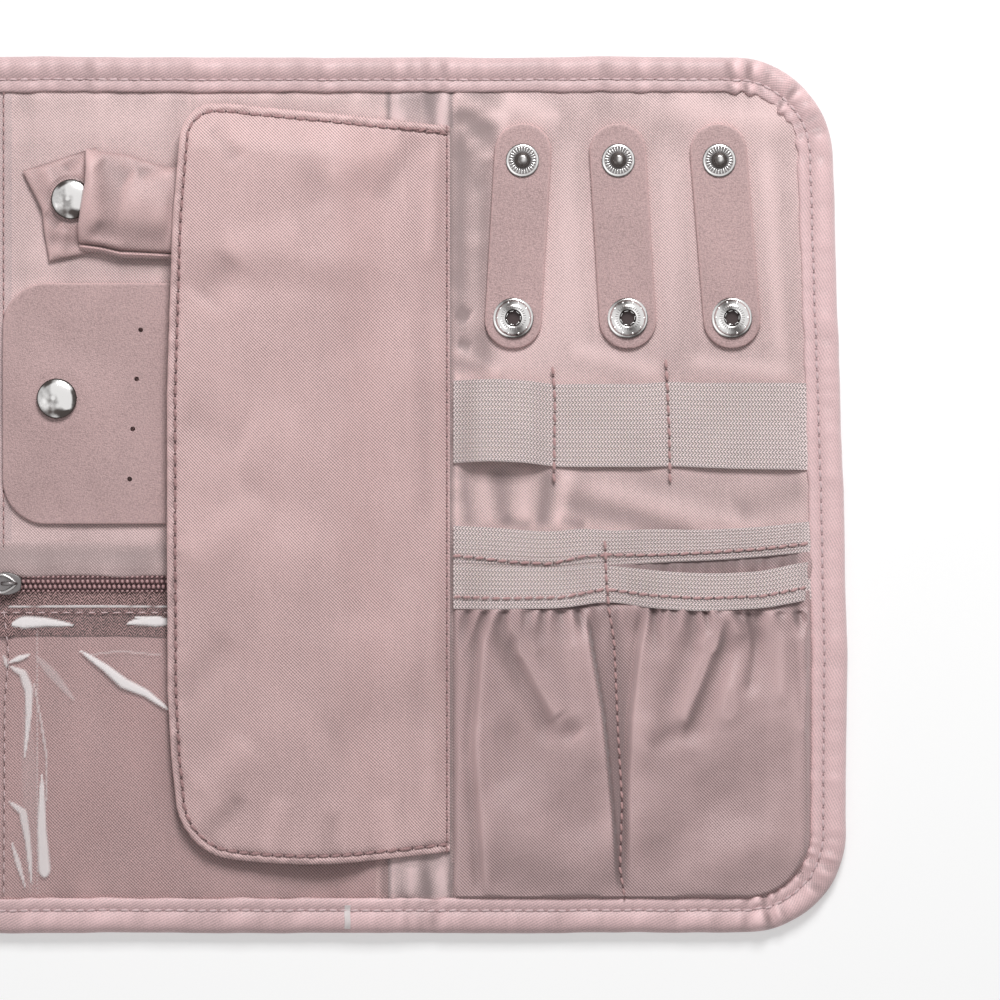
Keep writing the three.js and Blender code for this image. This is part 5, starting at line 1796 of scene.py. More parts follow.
def elastic_band(name, top_edge, bottom_edge, stops, rises, low_z, ribs, seed, dip=0.0):
    """A ribbed band between two edges; dip lowers its lower part."""
    x = steps(BAND_LEFT, BAND_RIGHT, 0.9)
    shares = np.linspace(0, 1, ribs * 5 + 1)
    top, bottom = edge_line(top_edge, x), edge_line(bottom_edge, x)
    grid_x = np.repeat(x[None, :], len(shares), 0)
    grid_y = bottom[None, :] + (top - bottom)[None, :] * shares[:, None]
    z = low_z + arched(grid_x, stops, rises) + 0.10 * field(grid_x, grid_y, 16, seed)
    z = z - dip * smooth((0.4 - shares[:, None]) / 0.4)
    rib = np.abs(np.sin(math.pi * ribs * shares))[:, None]
    edge = np.minimum(shares, 1 - shares)[:, None]
    flat = smooth((BAND_RIGHT - grid_x - 0.6) / 4.5)
    thick = 0.5 + 0.30 * rib**0.7 * smooth(edge * ribs * 1.5 + 0.35) * flat
    z = blend_between(LINING_LEVEL, z, flat)
    for seam in stops[1:-1]:
        z = z - 0.18 * bell(grid_x - seam, 0.6)
    upper = stacked(lean(grid_x, grid_y), grid_y, z + thick)
    lower = stacked(lean(grid_x, grid_y), grid_y, z)
    run = np.stack(np.broadcast_arrays(grid_x, shares[:, None] * (ELASTIC_RIB * ribs)), -1)
    return closed_sheet(name, upper, lower, [elastic_cloth], run=run)


def band_height(piece, x, y):
    """The height of a piece's top at some places, from its own nearest points."""
    mesh = piece.data
    points = np.empty(len(mesh.vertices) * 3)
    mesh.vertices.foreach_get("co", points)
    points = points.reshape(-1, 3) / MM
    top = points[: len(points) // 2]
    found = []
    for px, py in zip(x, y):
        near = np.argsort(np.hypot(top[:, 0] - px, top[:, 1] - py))[:6]
        found.append(top[near, 2].max())
    return np.array(found)


def sew_on(piece, name, line, seed, pitch=3.1, length=2.75, width=1.0):
    """Stitches along picture points, lying on the piece's top."""
    px, py = zip(*line)
    dense = np.linspace(0, len(px) - 1, 12 * len(px))
    xs = at_x(np.interp(dense, range(len(px)), px))
    ys = at_y(np.interp(dense, range(len(py)), py))
    line = stacked(xs, ys, band_height(piece, xs, ys) + SEWN_LIFT)
    return stitches(name, line, dusty_thread, pitch, length, width, 0.6, seed, lean=0.12)


# %% The bands' edges and their rows of stitches
WIDE_TOP = ((440, 381), (500, 379), (540, 382), (554, 385), (570, 384), (650, 384), (668, 381), (690, 383),
            (820, 383))
WIDE_BOTTOM = ((440, 464), (490, 461), (530, 463), (554, 467), (650, 467), (668, 466), (740, 469),
               (820, 470))
REAR_TOP = ((440, 525), (500, 528), (545, 532), (590, 528), (606, 531), (650, 529), (700, 530), (760, 527),
            (820, 520))
REAR_BOTTOM = ((440, 568), (555, 572), (606, 566), (640, 564), (673, 562), (720, 560), (760, 557),
               (820, 551))
FRONT_TOP = ((440, 566), (500, 568), (560, 568), (600, 565), (612, 566), (640, 569), (673, 572),
             (715, 573.5), (760, 571), (790, 564), (820, 560))
FRONT_BOTTOM = ((440, 609), (500, 609), (560, 608), (600, 602), (612, 602), (650, 608), (700, 611),
                (760, 608), (820, 597))
WIDE_ROWS = {
    "divider_0": ((553, 371), (555, 400), (554, 478)),
    "divider_1": ((666, 364), (667, 380), (669, 430), (670, 478)),
}
REAR_ROWS = {
    "rear_left": ((457, 556), (480, 558), (510, 562), (550, 564), (580, 557), (604, 555)),
    "rear_right": ((608, 555), (650, 555), (700, 553), (760, 549), (804, 544)),
}
FRONT_ROWS = {
    "front_left": ((457, 597), (500, 598), (560, 597), (600, 590)),
    "front_right": ((612, 590), (650, 595), (700, 598), (760, 596), (802, 588)),
    "front_divider": ((605, 545), (606, 575), (608, 600)),
}
WIDE_STOPS = (BAND_LEFT, FIRST_DIVIDER, SECOND_DIVIDER, BAND_RIGHT + 3)
POCKET_STOPS = (BAND_LEFT, POCKET_DIVIDER, BAND_RIGHT + 3)
REAR_BAND_LOW = LINING_LEVEL + CLEARANCE
FRONT_LOW = highest("rear_pocket_cloth")[2] + CLEARANCE


def finish_band(band, rows, seed, node, width):
    sewn = [sew_on(band, name, row, seed + i) for i, (name, row) in enumerate(rows.items())]
    dress(joined(band, *sewn), "right_panel", [node])
    flat = ((BAND_RIGHT - BAND_LEFT) * MM, width * MM)


def make_bands():
    """The wide band and the bands of both pockets."""
    wide = elastic_band("wide_elastic", WIDE_TOP, WIDE_BOTTOM, WIDE_STOPS, (4.6, 0.9, 0.9), REAR_BAND_LOW,
                        18, 61)
    finish_band(wide, WIDE_ROWS, 7, "wide_elastic_band", 25)
    rear = elastic_band("rear_pocket_elastic_band", REAR_TOP, REAR_BOTTOM, POCKET_STOPS, (0.9, 0.9),
                        REAR_BAND_LOW, 9, 62, dip=0.25)
    finish_band(rear, REAR_ROWS, 11, "rear_pocket_elastic", 12)
    front = elastic_band("front_pocket_elastic_band", FRONT_TOP, FRONT_BOTTOM, POCKET_STOPS, (4.9, 4.9),
                         FRONT_LOW, 9, 63)
    finish_band(front, FRONT_ROWS, 13, "front_pocket_elastic", 12)


make_bands()
print("straps and bands made")
# %% [markdown]
# ## Gathered pockets
#
# The pocket cloth is cut wider than its elastic and gathered onto it, so it leaves the band in short
# puckers that run out into a few long folds. The puckers are ridges at seeded places, strongest under
# the band. The folds are laid where the picture shows them, each as a ridge with its shaded valley.

# %% The pocket cloth
DIVIDER_LINE = ((525, 605), (590, 606), (611, 609), (640, 614), (734, 618), (801, 622), (868, 620),
                (900, 625))
LEFT_PLEAT = ((525, 600), (590, 590), (611, 586), (650, 591), (710, 601.5), (801, 611), (868, 616),
              (900, 620))
RIGHT_PLEAT = ((525, 612), (590, 640), (611, 644), (648, 636), (721, 628), (801, 625.5), (900, 628))
FRONT_FOLDS = [
    ((511, 612), (524, 655), 2.0, 1.5, 2.0),
    ((521, 648), (562, 728), 2.4, 1.9, 2.4),
    ((500, 640), (548, 735), 3.0, -1.6),
    ((556, 716), (576, 736), 2.6, -0.8),
    ((530, 640), (575, 735), 5.0, -0.5),
    ((484, 636), (475, 745), 0.8, 1.1, 2.6),
    ((475, 740), (487, 893), 0.8, 1.0, 2.6),
    ((477, 640), (467, 750), 1.5, -1.2),
    ((467, 745), (477, 885), 1.5, -1.0),
    ((460, 640), (457, 880), 1.5, 0.4),
    ((571, 640), (588, 760), 3.5, 0.9),
    ((721, 612), (708, 650), 3.4, 1.5, 0.5),
    ((710, 642), (678, 728), 3.8, 1.9, 0.45),
    ((727, 640), (690, 738), 3.2, -1.6),
    ((682, 724), (648, 748), 3.0, -0.8),
    ((690, 640), (655, 720), 5.0, -0.5),
    ((737, 612), (722, 720), 3.0, 1.1),
    ((757, 612), (745, 690), 1.8, -1.1),
    ((778, 612), (776, 700), 2.2, 1.0),
    ((793, 612), (799, 720), 1.6, -0.9),
    ((660, 650), (642, 760), 3.5, 0.8),
    ((490, 800), (600, 880), 8.0, 1.3),
    ((500, 730), (600, 830), 9.0, -1.2),
    ((640, 850), (790, 760), 12.0, -1.3),
    ((680, 885), (800, 830), 8.0, 1.1),
    ((700, 760), (800, 700), 10.0, 0.9),
]
PUCKERS = (470, 488, 507, 526, 545, 562, 577, 652, 664, 673, 688, 703, 717, 733, 745, 756, 777, 793)
GATHER_REACH = 7.0
POCKET_BOTTOM = INSIDE_BOTTOM - 1.5
POCKET_RIGHT = RIGHT_EDGE - BINDING_WIDTH + 1.5
POCKET_CUT = 84


def line_at(line, y):
    """The x of a line that is given as picture rows and columns, at each y."""
    heights = [at_y(py) for py, _ in line][::-1]
    return np.interp(y, heights, [at_x(px) for _, px in line][::-1])


def past_divider(x, y):
    """How far a place lies to the right of the divider's stitches."""
    return x - line_at(DIVIDER_LINE, y)


def below(line, x, y):
    """How far a place lies below the edge of a band."""
    return edge_line(line, x[0])[None, :] - y


def from_hem(x, y):
    """How far a place lies inside the pocket's hem under the binding."""
    return inside_distance(x, y, None, RIGHT_EDGE - BINDING_WIDTH, INSIDE_BOTTOM, TOP_EDGE, 17.7, 17.7)


def between_seams(x, y):
    """The fullness of the two pockets: it ends in a steep pleat on both sides of the divider."""
    left = smooth((x - BAND_LEFT) / 12.0) * smooth((line_at(LEFT_PLEAT, y) + 0.7 - x) / 1.5)
    start = line_at(RIGHT_PLEAT, y)
    right = smooth((x - start + 1.3) / 2.4) * smooth((BAND_RIGHT + 2 - x) / 6.0)
    return np.maximum(left, right)


def gathers(x, down, seed, pitch=3.4):
    """Short ridges that leave a band; down is the distance from it in millimetres."""
    random = np.random.default_rng(seed)
    total = np.zeros_like(x)
    place = BAND_LEFT
    while place < BAND_RIGHT + 3:
        width = random.uniform(0.30, 0.46) * pitch
        reach = GATHER_REACH * random.uniform(0.5, 1.8)
        slant = random.uniform(-0.22, 0.22)
        ridge = bell(x - place - slant * down, width * (1 + 0.05 * down))
        total = total + ridge * np.exp(-np.maximum(down, 0) / reach) * random.uniform(0.6, 1.1)
        place += pitch * random.uniform(0.7, 1.4)
    return total - 0.35 * np.exp(-np.maximum(down, 0) / GATHER_REACH)


def puckers(x, down, seed):
    """The dark dimples between the gathers: each is a short valley that starts under the band."""
    random = np.random.default_rng(seed)
    total = np.zeros_like(x)
    under = np.maximum(down, 0)
    for px in PUCKERS:
        width = random.uniform(0.9, 1.9)
        reach = random.uniform(4.0, 13.0)
        slant = random.uniform(-0.45, 0.45)
        place = at_x(px + random.uniform(-2, 2))
        valley = bell(x - place - slant * down, width * (1 + 0.10 * under))
        fade = np.exp(-((under / reach) ** 1.5))
        total = np.maximum(total, valley * fade * random.uniform(0.6, 1.0))
    return total


def front_top(x, y):
    """The height of the front pocket's cloth, which is full under the band and flat at the bottom."""
    band_edge = edge_line(FRONT_BOTTOM, x[0])[None, :]
    down = band_edge - y
    share = np.clip((y - POCKET_BOTTOM) / (band_edge - POCKET_BOTTOM), 0, 1)
    full = smooth((share + 0.05) / 0.30) * blend_between(0.55, 1.0, share)
    under_band = arched(x, POCKET_STOPS, (4.9, 4.9))
    puffed = 4.4 * between_seams(x, y) * full
    z = FRONT_LOW + CLOTH + blend_between(under_band, puffed, smooth(down / 9.0))
    loose = np.minimum(0.35 + between_seams(x, y), 1.0)
    z = z + creases(x, y, FRONT_FOLDS) * smooth(share / 0.06 + 0.3) * loose
    z = z + (0.9 * gathers(x, down, 71) - 2.6 * puckers(x, down, 77)) * smooth((down + 0.2) / 1.4)
    z = z + (0.7 * field(x, y, 30, 72) * smooth(share / 0.2) + 0.07 * field(x, y, 8, 73)) * loose
    z = z - 0.45 * bell(np.maximum(down, 0), 1.2)
    hidden = smooth((0.4 - down) / 0.8)
    z = np.maximum(z, FRONT_LOW + 0.35) - hidden * 0.75
    from_rim = 0.42 + 6.5 * smooth((from_hem(x, y) + 0.2) / 3.2) ** 0.7
    from_seam = 0.42 + 1.1 * (x - BAND_LEFT)
    return np.minimum(z, LINING_LEVEL + np.minimum(from_rim, from_seam))


def rear_top(x, y):
    """The height of the rear pocket's cloth: it is gathered only where the front band leaves it bare."""
    down = below(REAR_BOTTOM, x, y)
    z = LINING_LEVEL + CLOTH + 0.05 * field(x, y, 12, 74)
    gap = bell(down - 3.0, 4.0) * smooth(past_divider(x, y) / 4)
    rim = 0.5 * smooth((0.5 - from_hem(x, y)) / 1.0)
    return z + gap * (0.5 + 1.1 * gathers(x, down, 75, 2.6)) - rim


def front_shade(x, y):
    """The front pocket is darker beside the divider and under the band, and paler on the right."""
    down = below(FRONT_BOTTOM, x, y)
    beside = 0.9 * bell(past_divider(x, y), 2.6)
    under = 0.30 * bell(np.maximum(down, 0), 9.0)
    right = smooth(past_divider(x, y) / 4)
    shade = np.maximum(beside, 0.75 * puckers(x, down, 77) + under)
    return shade - 0.02 - 0.16 * right + 0.10 * field(x, y, 40, 76)


def rear_shade(x, y):
    """The rear pocket is dark close under its band."""
    down = below(REAR_BOTTOM, x, y)
    return 0.30 + 0.7 * bell(down, 2.2) + 0.8 * puckers(x, down, 78)


def pocket_sheet(name, surface, shade, top_line, above, size):
    """A pocket's cloth from the bottom hem to a little above its band's lower edge."""
    x = steps(BAND_LEFT, POCKET_RIGHT, size)
    shares = np.linspace(0, 1, int((at_y(600) - POCKET_BOTTOM) / size))
    top = edge_line(top_line, x) + above
    grid_y = POCKET_BOTTOM + (top[None, :] - POCKET_BOTTOM) * shares[:, None]
    limit = POCKET_RIGHT - corner_inset(grid_y, POCKET_BOTTOM, TOP_EDGE, 19.2)
    grid_x = BAND_LEFT + (limit - BAND_LEFT) * ((x - BAND_LEFT) / (x[-1] - BAND_LEFT))[None, :]
    z = surface(grid_x, grid_y)
    real_x = lean(grid_x, grid_y)
    # Painted shade and sheen of the folds, with the pocket's own painted shade; both fade out at the hem.
    paint = fold_paint(grid_x, z, int(3.0 / size), 1.6, shade(grid_x, grid_y))
    inside = smooth((from_hem(grid_x, grid_y) - 0.8) / 4.0)
    paint = {key: values * inside for key, values in paint.items()}
    return closed_sheet(name, stacked(real_x, grid_y, z), stacked(real_x, grid_y, z - CLOTH * 0.6),
                        [pocket_cloth], paint=paint)


def make_pockets():
    """Both pockets' cloth, the front one with the divider's stitches."""
    front = pocket_sheet("front_pocket_satin", front_top, front_shade, FRONT_BOTTOM, 2.6, 0.5)
    row = [(x, y) for y, x in DIVIDER_LINE if y > 600]
    front = joined(front, sew_on(front, "pocket_divider", row, 16, 3.0, 2.4, 0.8))
    rear = pocket_sheet("rear_pocket_satin", rear_top, rear_shade, REAR_BOTTOM, 3.0, 0.9)
    length = (BAND_RIGHT - BAND_LEFT) * MM
    for piece, node, fullness in ((front, "front_pocket_cloth", 1.25), (rear, "rear_pocket_cloth", 1.15)):
        dress(piece, "right_panel", [node])
        flat = (length * fullness, POCKET_CUT * MM)


make_pockets()
print("pockets made")
# %% [markdown]
# ## Ring bar
#
# The ring bar is a stuffed tube of the same cloth with a flat tab at its end, which carries the snap.
# The tube's end lies over the snap cap's edge. Both are grids drawn between two curved sides, so the
# slanting ends and the uneven long sides come straight from the picture. A narrow double roll of
# seam allowance runs along the tube's lower side.

# %% The tab and the tube
BAR_TOP_SIDE = ((86, 149), (99, 151), (128, 154.5), (153, 163), (171, 167), (240, 168), (420, 172))
BAR_LOW_SIDE = ((80, 244), (102, 247), (121, 251.5), (143, 252.5), (169, 254), (240, 256), (420, 260))
BAR_END = ((0.0, 79.5), (0.18, 79.0), (0.38, 82), (0.62, 86), (0.78, 87), (1.0, 86))
TAB_END = ((0.0, 49.5, 262), (0.3, 44.5, 232), (0.46, 42.5, 211), (0.56, 40.0, 205.5), (1.0, 22.3, 171))
TAB_ROOT = ((0.0, 97, 252), (1.0, 97, 147))
BAR_FOLDS = [
    ((140, 174), (172, 164), 2.2, -1.0),
    ((146, 162), (172, 176), 1.8, 0.7),
    ((104, 160), (132, 178), 4.0, -0.8),
    ((92, 158), (98, 230), 2.6, 0.8),
    ((100, 232), (168, 240), 3.4, -0.8),
    ((86, 240), (124, 248), 1.4, 0.8),
    ((124, 206), (168, 214), 6.0, 0.7),
    ((104, 224), (88, 244), 1.6, -0.7),
]
TAB_FOLDS = [
    ((44, 168), (60, 196), 1.8, 0.5),
    ((88, 150), (66, 170), 1.6, -0.5),
    ((46, 214), (60, 226), 1.6, -0.5),
    ((66, 230), (58, 256), 1.8, 0.5),
    ((50, 240), (92, 244), 1.8, -0.4),
]
CAP_CENTRE = middle_of("ring_bar_snap_cap")
CAP_TOP = highest("ring_bar_snap_cap")[2]
BAR_TOP = highest("ring_bar_sleeve")[2]


TUBE_MIDDLE = LINING_LEVEL + 2.0
TAB_THICK = 1.1
TUBE_ALONG = np.concatenate([[0, 0.002, 0.005, 0.009], np.linspace(0.014, 1, 110)])
SEAM_ACROSS = [-1.13, -1.115, -1.09, -1.06, -1.035, -1.015]
TUBE_ACROSS = np.concatenate([SEAM_ACROSS, -np.cos(np.linspace(0, math.pi, 44))])


def tab_top(x, y):
    """The height of the tab, which rises over the snap cap."""
    near = np.hypot(x - CAP_CENTRE[0], y - CAP_CENTRE[1])
    z = LINING_LEVEL + 1.9 + 1.9 * bell(near, 9.0)
    return z + 0.12 * field(x, y, 8, 81) - 0.35 * smooth((near - 5.4) / 0.6) * smooth((7.6 - near) / 1.6)


def make_tab():
    """The tab's grid runs from its slanting end to its root under the tube."""
    u, v = np.meshgrid(np.linspace(0, 1, 46), np.linspace(0, 1, 62))
    end, root = np.transpose(TAB_END), np.transpose(TAB_ROOT)
    px, py = [blend_between(np.interp(v, end[0], end[k]), np.interp(v, root[0], root[k]), u) for k in (1, 2)]
    x, y = at_x(px), at_y(py)
    edge = np.minimum(u * 21, np.minimum(v, 1 - v) * 30)
    top = tab_top(x, y) + rolled(edge, 1.8, 0.9) + creases(x, y, TAB_FOLDS)
    bottom = tab_top(x, y) - TAB_THICK - rolled(edge, 0.6, 0.2)
    # The tab's folds are painted as shade and sheen, with a little painted shade all over.
    return closed_sheet("ring_bar_tab", stacked(x, y, top), stacked(x, y, bottom), [bar_cloth],
                        paint=fold_paint(x, top, 5, 0.9, 0.15))


def tube_low(x, y, from_end, round_part):
    """The height of the tube's underside, which lies on the tab and on the snap cap's edge."""
    low = TUBE_MIDDLE - 1.2 * round_part - 0.6
    near = np.hypot(x - CAP_CENTRE[0], y - CAP_CENTRE[1])
    over = CAP_TOP + 0.1 - 1.5 * smooth((near - 2.5) / 3.6)
    on_tab = np.where(near < 6.1, over, tab_top(x, y) + 0.05)
    on_tab = on_tab * round_part + (tab_top(x, y) - 0.4) * (1 - round_part)
    return np.where(from_end < 3.8, np.maximum(low, on_tab), low)


def make_tube():
    """The tube's grid runs along it and from its seam allowance, below -1, to its upper side, at 1."""
    u, v = np.meshgrid(TUBE_ALONG, TUBE_ACROSS)
    start_px = np.interp((v + 1) / 2, *zip(*BAR_END))
    px = blend_between(start_px, picture_x(highest("ring_bar_sleeve")[0]), u)
    top_py, low_py = np.interp(px, *zip(*BAR_TOP_SIDE)), np.interp(px, *zip(*BAR_LOW_SIDE))
    x, y = at_x(px), at_y((top_py + low_py) / 2 - v * (low_py - top_py) / 2)
    round_part = np.sqrt(np.maximum(1 - np.abs(np.clip(v, -1, 1)) ** 2.7, 0))
    from_end = (px - start_px) * PIXEL
    over_cap = bell(from_end, 5.0) * 1.1
    full = BAR_TOP - TUBE_MIDDLE - 0.9 - 2.4 * smooth((px - 190) / 60)
    top = TUBE_MIDDLE + 0.5 + (full + over_cap) * round_part + creases(x, y, BAR_FOLDS) * round_part
    top = top + rolled(from_end, 2.0, 1.1) + 0.15 * field(x, y, 11, 83) * round_part
    welt = bell(v + 1.06, 0.045)
    top = top + (0.95 + 0.2 * field(x, y, 8, 84)) * welt - 0.7 * bell(v + 0.985, 0.02)
    low = tube_low(x, y, from_end, round_part)
    top = np.maximum(top, low + 0.5)
    # Painted shade and sheen of the folds, with uneven painted shade all over.
    paint = fold_paint(x, top, 4, 1.1, 0.1 + 0.12 * field(x, y, 16, 86))
    return closed_sheet("ring_bar_cloth_tube", stacked(x, y, top), stacked(x, y, low), [bar_cloth],
                        paint=paint)


tab = make_tab()
tube = joined(make_tube(), tab)
dress(tube, "ring_bar", ["ring_bar_sleeve", "ring_bar_core"])


# %% [markdown]
# ## Earring card
#
# A stiff card of leatherette hangs from the right and snaps down at its left end. Its small holes are
# really cut, with a boolean of short pegs, so that the lining shows through them.

# %% The card
PEG_ANGLE = 0.7


def cut_holes(piece, centres, radius, depth):
    """Cuts round holes through a piece and leaves a plain mesh."""
    work = bmesh.new()
    for centre in centres:
        place = Matrix.Translation(Vector(centre) * MM)
        bmesh.ops.create_cone(work, cap_ends=True, segments=20, radius1=radius * MM, radius2=radius * MM,
                              depth=depth * MM, matrix=place)
    mesh = bpy.data.meshes.new("pegs")
    work.to_mesh(mesh)
    work.free()
    pegs = bpy.data.objects.new("pegs", mesh)
    scene.collection.objects.link(pegs)
    modifier = piece.modifiers.new("holes", "BOOLEAN")
    modifier.object = pegs
    modifier.solver = "EXACT"
    made = piece.evaluated_get(bpy.context.evaluated_depsgraph_get())
    whole = bpy.data.meshes.new_from_object(made)
    piece.modifiers.clear()
    piece.data = whole
    whole.set_sharp_from_angle(angle=PEG_ANGLE)
    bpy.data.objects.remove(pegs)


CARD_LEFT, CARD_TOP = at(3, 283)
CARD_BOTTOM = at_y(524)
CARD_RADIUS = 12.5
CARD_HOLES = ((141, 330), (137, 379), (133, 429), (130, 479))
HOLE_PITCH = 14.1
HOLE_RADIUS = 0.7
CARD_THICK = 1.2
CARD_FOLDS = [
    ((60, 320), (165, 300), 12.0, 0.5),
    ((100, 500), (165, 480), 10.0, 0.35),
    ((8, 520), (60, 500), 6.0, -0.3),
]


def card_top(x, y):
    """The height of the card, which rises over its snap cap."""
    cap = middle_of("earring_card_snap_cap")
    near = np.hypot((x - cap[0]) * 0.9, y - cap[1])
    z = LINING_LEVEL + 0.5 + CARD_THICK + 1.95 * bell(near, 13.0)
    z = z + 0.12 * field(x, y, 30, 85) + creases(x, y, CARD_FOLDS)
    return z - 0.30 * bell(near - 6.2, 0.8) * smooth((near - 5.0) / 0.6)


def make_card():
    """The card with its holes cut."""
    right = highest("earring_card")[0]
    rim = np.array([0, 0.2, 0.5, 0.9])
    shares = np.concatenate([rim, np.linspace(1.5, right - CARD_LEFT, 84)]) / (right - CARD_LEFT)
    rows = rounded_rows(CARD_BOTTOM, CARD_TOP, CARD_RADIUS, CARD_RADIUS, 1.1)
    rows = np.unique(np.concatenate([rows, CARD_BOTTOM + rim, CARD_TOP - rim]))
    low_x = CARD_LEFT + corner_inset(rows, CARD_BOTTOM, CARD_TOP, CARD_RADIUS)
    x = low_x[:, None] + (right - low_x)[:, None] * shares[None, :]
    y = np.repeat(rows[:, None], len(shares), 1)
    edge = inside_distance(x, y, CARD_LEFT, None, CARD_BOTTOM, CARD_TOP, CARD_RADIUS, 0)
    z = card_top(x, y)
    top = z + rolled(edge, 0.6, 0.45)
    card = closed_sheet("earring_card_leather", stacked(x, y, top), stacked(x, y, z - CARD_THICK),
                        [leather_cloth], paint={"edge": bell(edge, 0.4)})
    centres = [(at_x(px) + column * HOLE_PITCH, at_y(py), LINING_LEVEL + 2)
               for px, py in CARD_HOLES for column in range(3)]
    cut_holes(card, centres, HOLE_RADIUS, 9)
    dress(card, "earring_card", ["earring_card"])
    (right - CARD_LEFT) * MM
    (CARD_TOP - CARD_BOTTOM) * MM


make_card()
print("bar and card made")
# %% [markdown]
# ## Zipped clear pockets
#
# Both pockets are made by the same functions: two woven tapes, a coil of nylon loops sewn between
# them, and a sheet of clear vinyl sewn to the lower tape. The coil is four rows of small beads from
# the bead recipe. The glints where the vinyl's creases catch the light are painted highlights on its
# mesh, as long soft drops.

# %% Tapes and coils
COIL_PITCH = 1.4


def row_of(name, x_from, x_to, y, z, **sizes):
    """One straight row of the coil's loops."""
    line = stacked(steps(x_from, x_to, 2.0), y, z)
    return follow(beads, name, line, coil_nylon, Pitch=COIL_PITCH, Unevenness=0.05, **sizes)


def zip_tapes(name, left, right, coil_y, upper_reach, lower_reach, low_z):
    """Both tapes as one woven strip, with the coil's loops on it."""
    x, y = np.meshgrid(steps(left, right, 1.4), steps(coil_y - lower_reach, coil_y + upper_reach, 0.55))
    fold = smooth((left + 9 - x) / 4) * smooth((coil_y - lower_reach + 9 - y) / 5)
    z = low_z + 0.55 + 0.10 * field(x, y, 9, 91) + 0.5 * fold * (1 + field(x, y, 4, 92))
    z = z + 0.45 * np.exp(-(((y - coil_y) / 2.3) ** 4))
    shift = 0.35 * field(x, y * 0.2, 30, 93) * smooth((coil_y - y) / 6)
    # Painted shade: the tape's faces close under the coil take the dark second finish.
    shaded_under_coil = (np.abs((y[:-1, :-1] + y[1:, 1:]) / 2 - coil_y) < 2.4).astype(int)
    tape = closed_sheet(name, stacked(x, y + shift, z), stacked(x, y + shift, z - 0.5), [zip_tape, coil_shade],
                        shaded_under_coil)
    z = low_z + 1.35
    rows = []
    for offset, width in ((0.55, 1.25), (-0.95, 1.45)):
        start = left + (COIL_PITCH / 2 if offset < 0 else 0)
        rows.append(row_of("loops", start, right, coil_y + offset, z, Length=1.12, Width=width, Height=1.3,
                           Seed=3, Turn=0.25))
    for offset in (1.85, -2.15):
        rows.append(row_of("edge_loops", left, right, coil_y + offset, z - 0.25, Length=1.0, Width=0.72,
                           Height=0.6, Seed=4, Turn=0.5))
    return joined(tape, *rows)


# %% [markdown]
# The vinyl is a fine grid that lifts a little between its seams. Each glint is a drop along a curve of
# picture points: thin at both ends and widest somewhere between, where the light catches the fold.

# %% The vinyl windows
GLINTS = [
    (((12, 624), (26, 622), (46, 622), (72, 625)), 11.0, 0.28, 0.95),
    (((128, 623), (146, 621), (172, 622)), 9.0, 0.7, 0.95),
    (((136, 617), (146, 619), (160, 617)), 3.6, 0.5, 0.9),
    (((10, 662), (20, 658), (29, 655)), 5.0, 0.5, 0.8),
    (((81, 651), (106, 668), (124, 683), (146, 693), (168, 709)), 9.0, 0.5, 0.95),
    (((11, 667), (23, 673), (29, 690), (29, 715), (25, 756)), 8.0, 0.4, 0.62),
    (((34, 684), (41, 720), (46, 752), (46, 800)), 2.2, 0.5, 0.30),
    (((42, 775), (42, 830), (45, 876)), 11.0, 0.93, 0.66),
    (((10, 802), (23, 812), (28, 840), (32, 884)), 7.0, 0.4, 0.55),
    (((12, 843), (18, 862), (25, 886)), 4.5, 0.5, 0.5),
    (((4, 656), (8, 668)), 4.0, 0.5, 0.5),
    (((88, 655), (120, 651), (160, 655)), 2.0, 0.5, 0.16),
    (((36, 656), (56, 678), (74, 700)), 9.0, 0.4, 0.15),
    (((10, 606), (90, 606), (180, 606)), 2.6, 0.5, 0.6),
    (((37, 632), (37, 760), (38, 893)), 2.0, 0.5, 0.20),
    (((26, 700), (30, 780), (30, 893)), 16.0, 0.5, 0.05),
]


def glint_at(x, y, rows, shift_x=0.0, shift_y=0.0):
    """The painted highlight of the vinyl's glints, from 0 to 1.

    Each row has its points, its width in pixels, where along it it is widest, and its strength.
    """
    total = np.zeros_like(x)
    for points, width, widest, strength in rows:
        px, py = np.array(points, float).T
        dense = np.linspace(0, len(px) - 1, 110)
        line_x = at_x(np.interp(dense, range(len(px)), px)) + shift_x
        line_y = at_y(np.interp(dense, range(len(py)), py)) + shift_y
        share = np.linspace(0, 1, len(dense))
        drop = np.where(share < widest, share / widest, (1 - share) / (1 - widest))
        half = np.maximum(width * PIXEL / 2 * np.sqrt(np.maximum(drop, 0.02)), 0.22)
        near = np.min([np.hypot(x - cx, y - cy) / h for cx, cy, h in zip(line_x, line_y, half)], axis=0)
        total = np.maximum(total, strength * smooth((1.35 - near) / 0.7))
    return total


def vinyl_sheet(name, left, right, bottom, top, low_z, rows, shift=(0, 0), seed=95):
    """A clear sheet over a box, with a finer grid where the flap doesn't hide it."""
    clear_of_flap = min(right, FLAP_LEFT + 4) if left > MIDDLE_LEFT_SEAM else right
    size = 0.44 if clear_of_flap < right else 0.7
    columns = np.concatenate([steps(left, clear_of_flap, size), steps(clear_of_flap, right, 1.6)[1:]])
    x, y = np.meshgrid(columns, steps(bottom, top, size))
    glints = glint_at(x, y, rows, *shift)
    rim = np.minimum(np.minimum(x - left, right - x), np.minimum(y - bottom, top - y))
    z = low_z + 0.25 + 0.35 * smooth(rim / 12) * (0.5 + 0.5 * field(x, y, 24, seed)) + 0.22 * glints
    upper, lower = stacked(x, y, z), stacked(x, y, z - 0.2)
    return closed_sheet(name, upper, lower, [clear_vinyl], paint={"glint": glints})


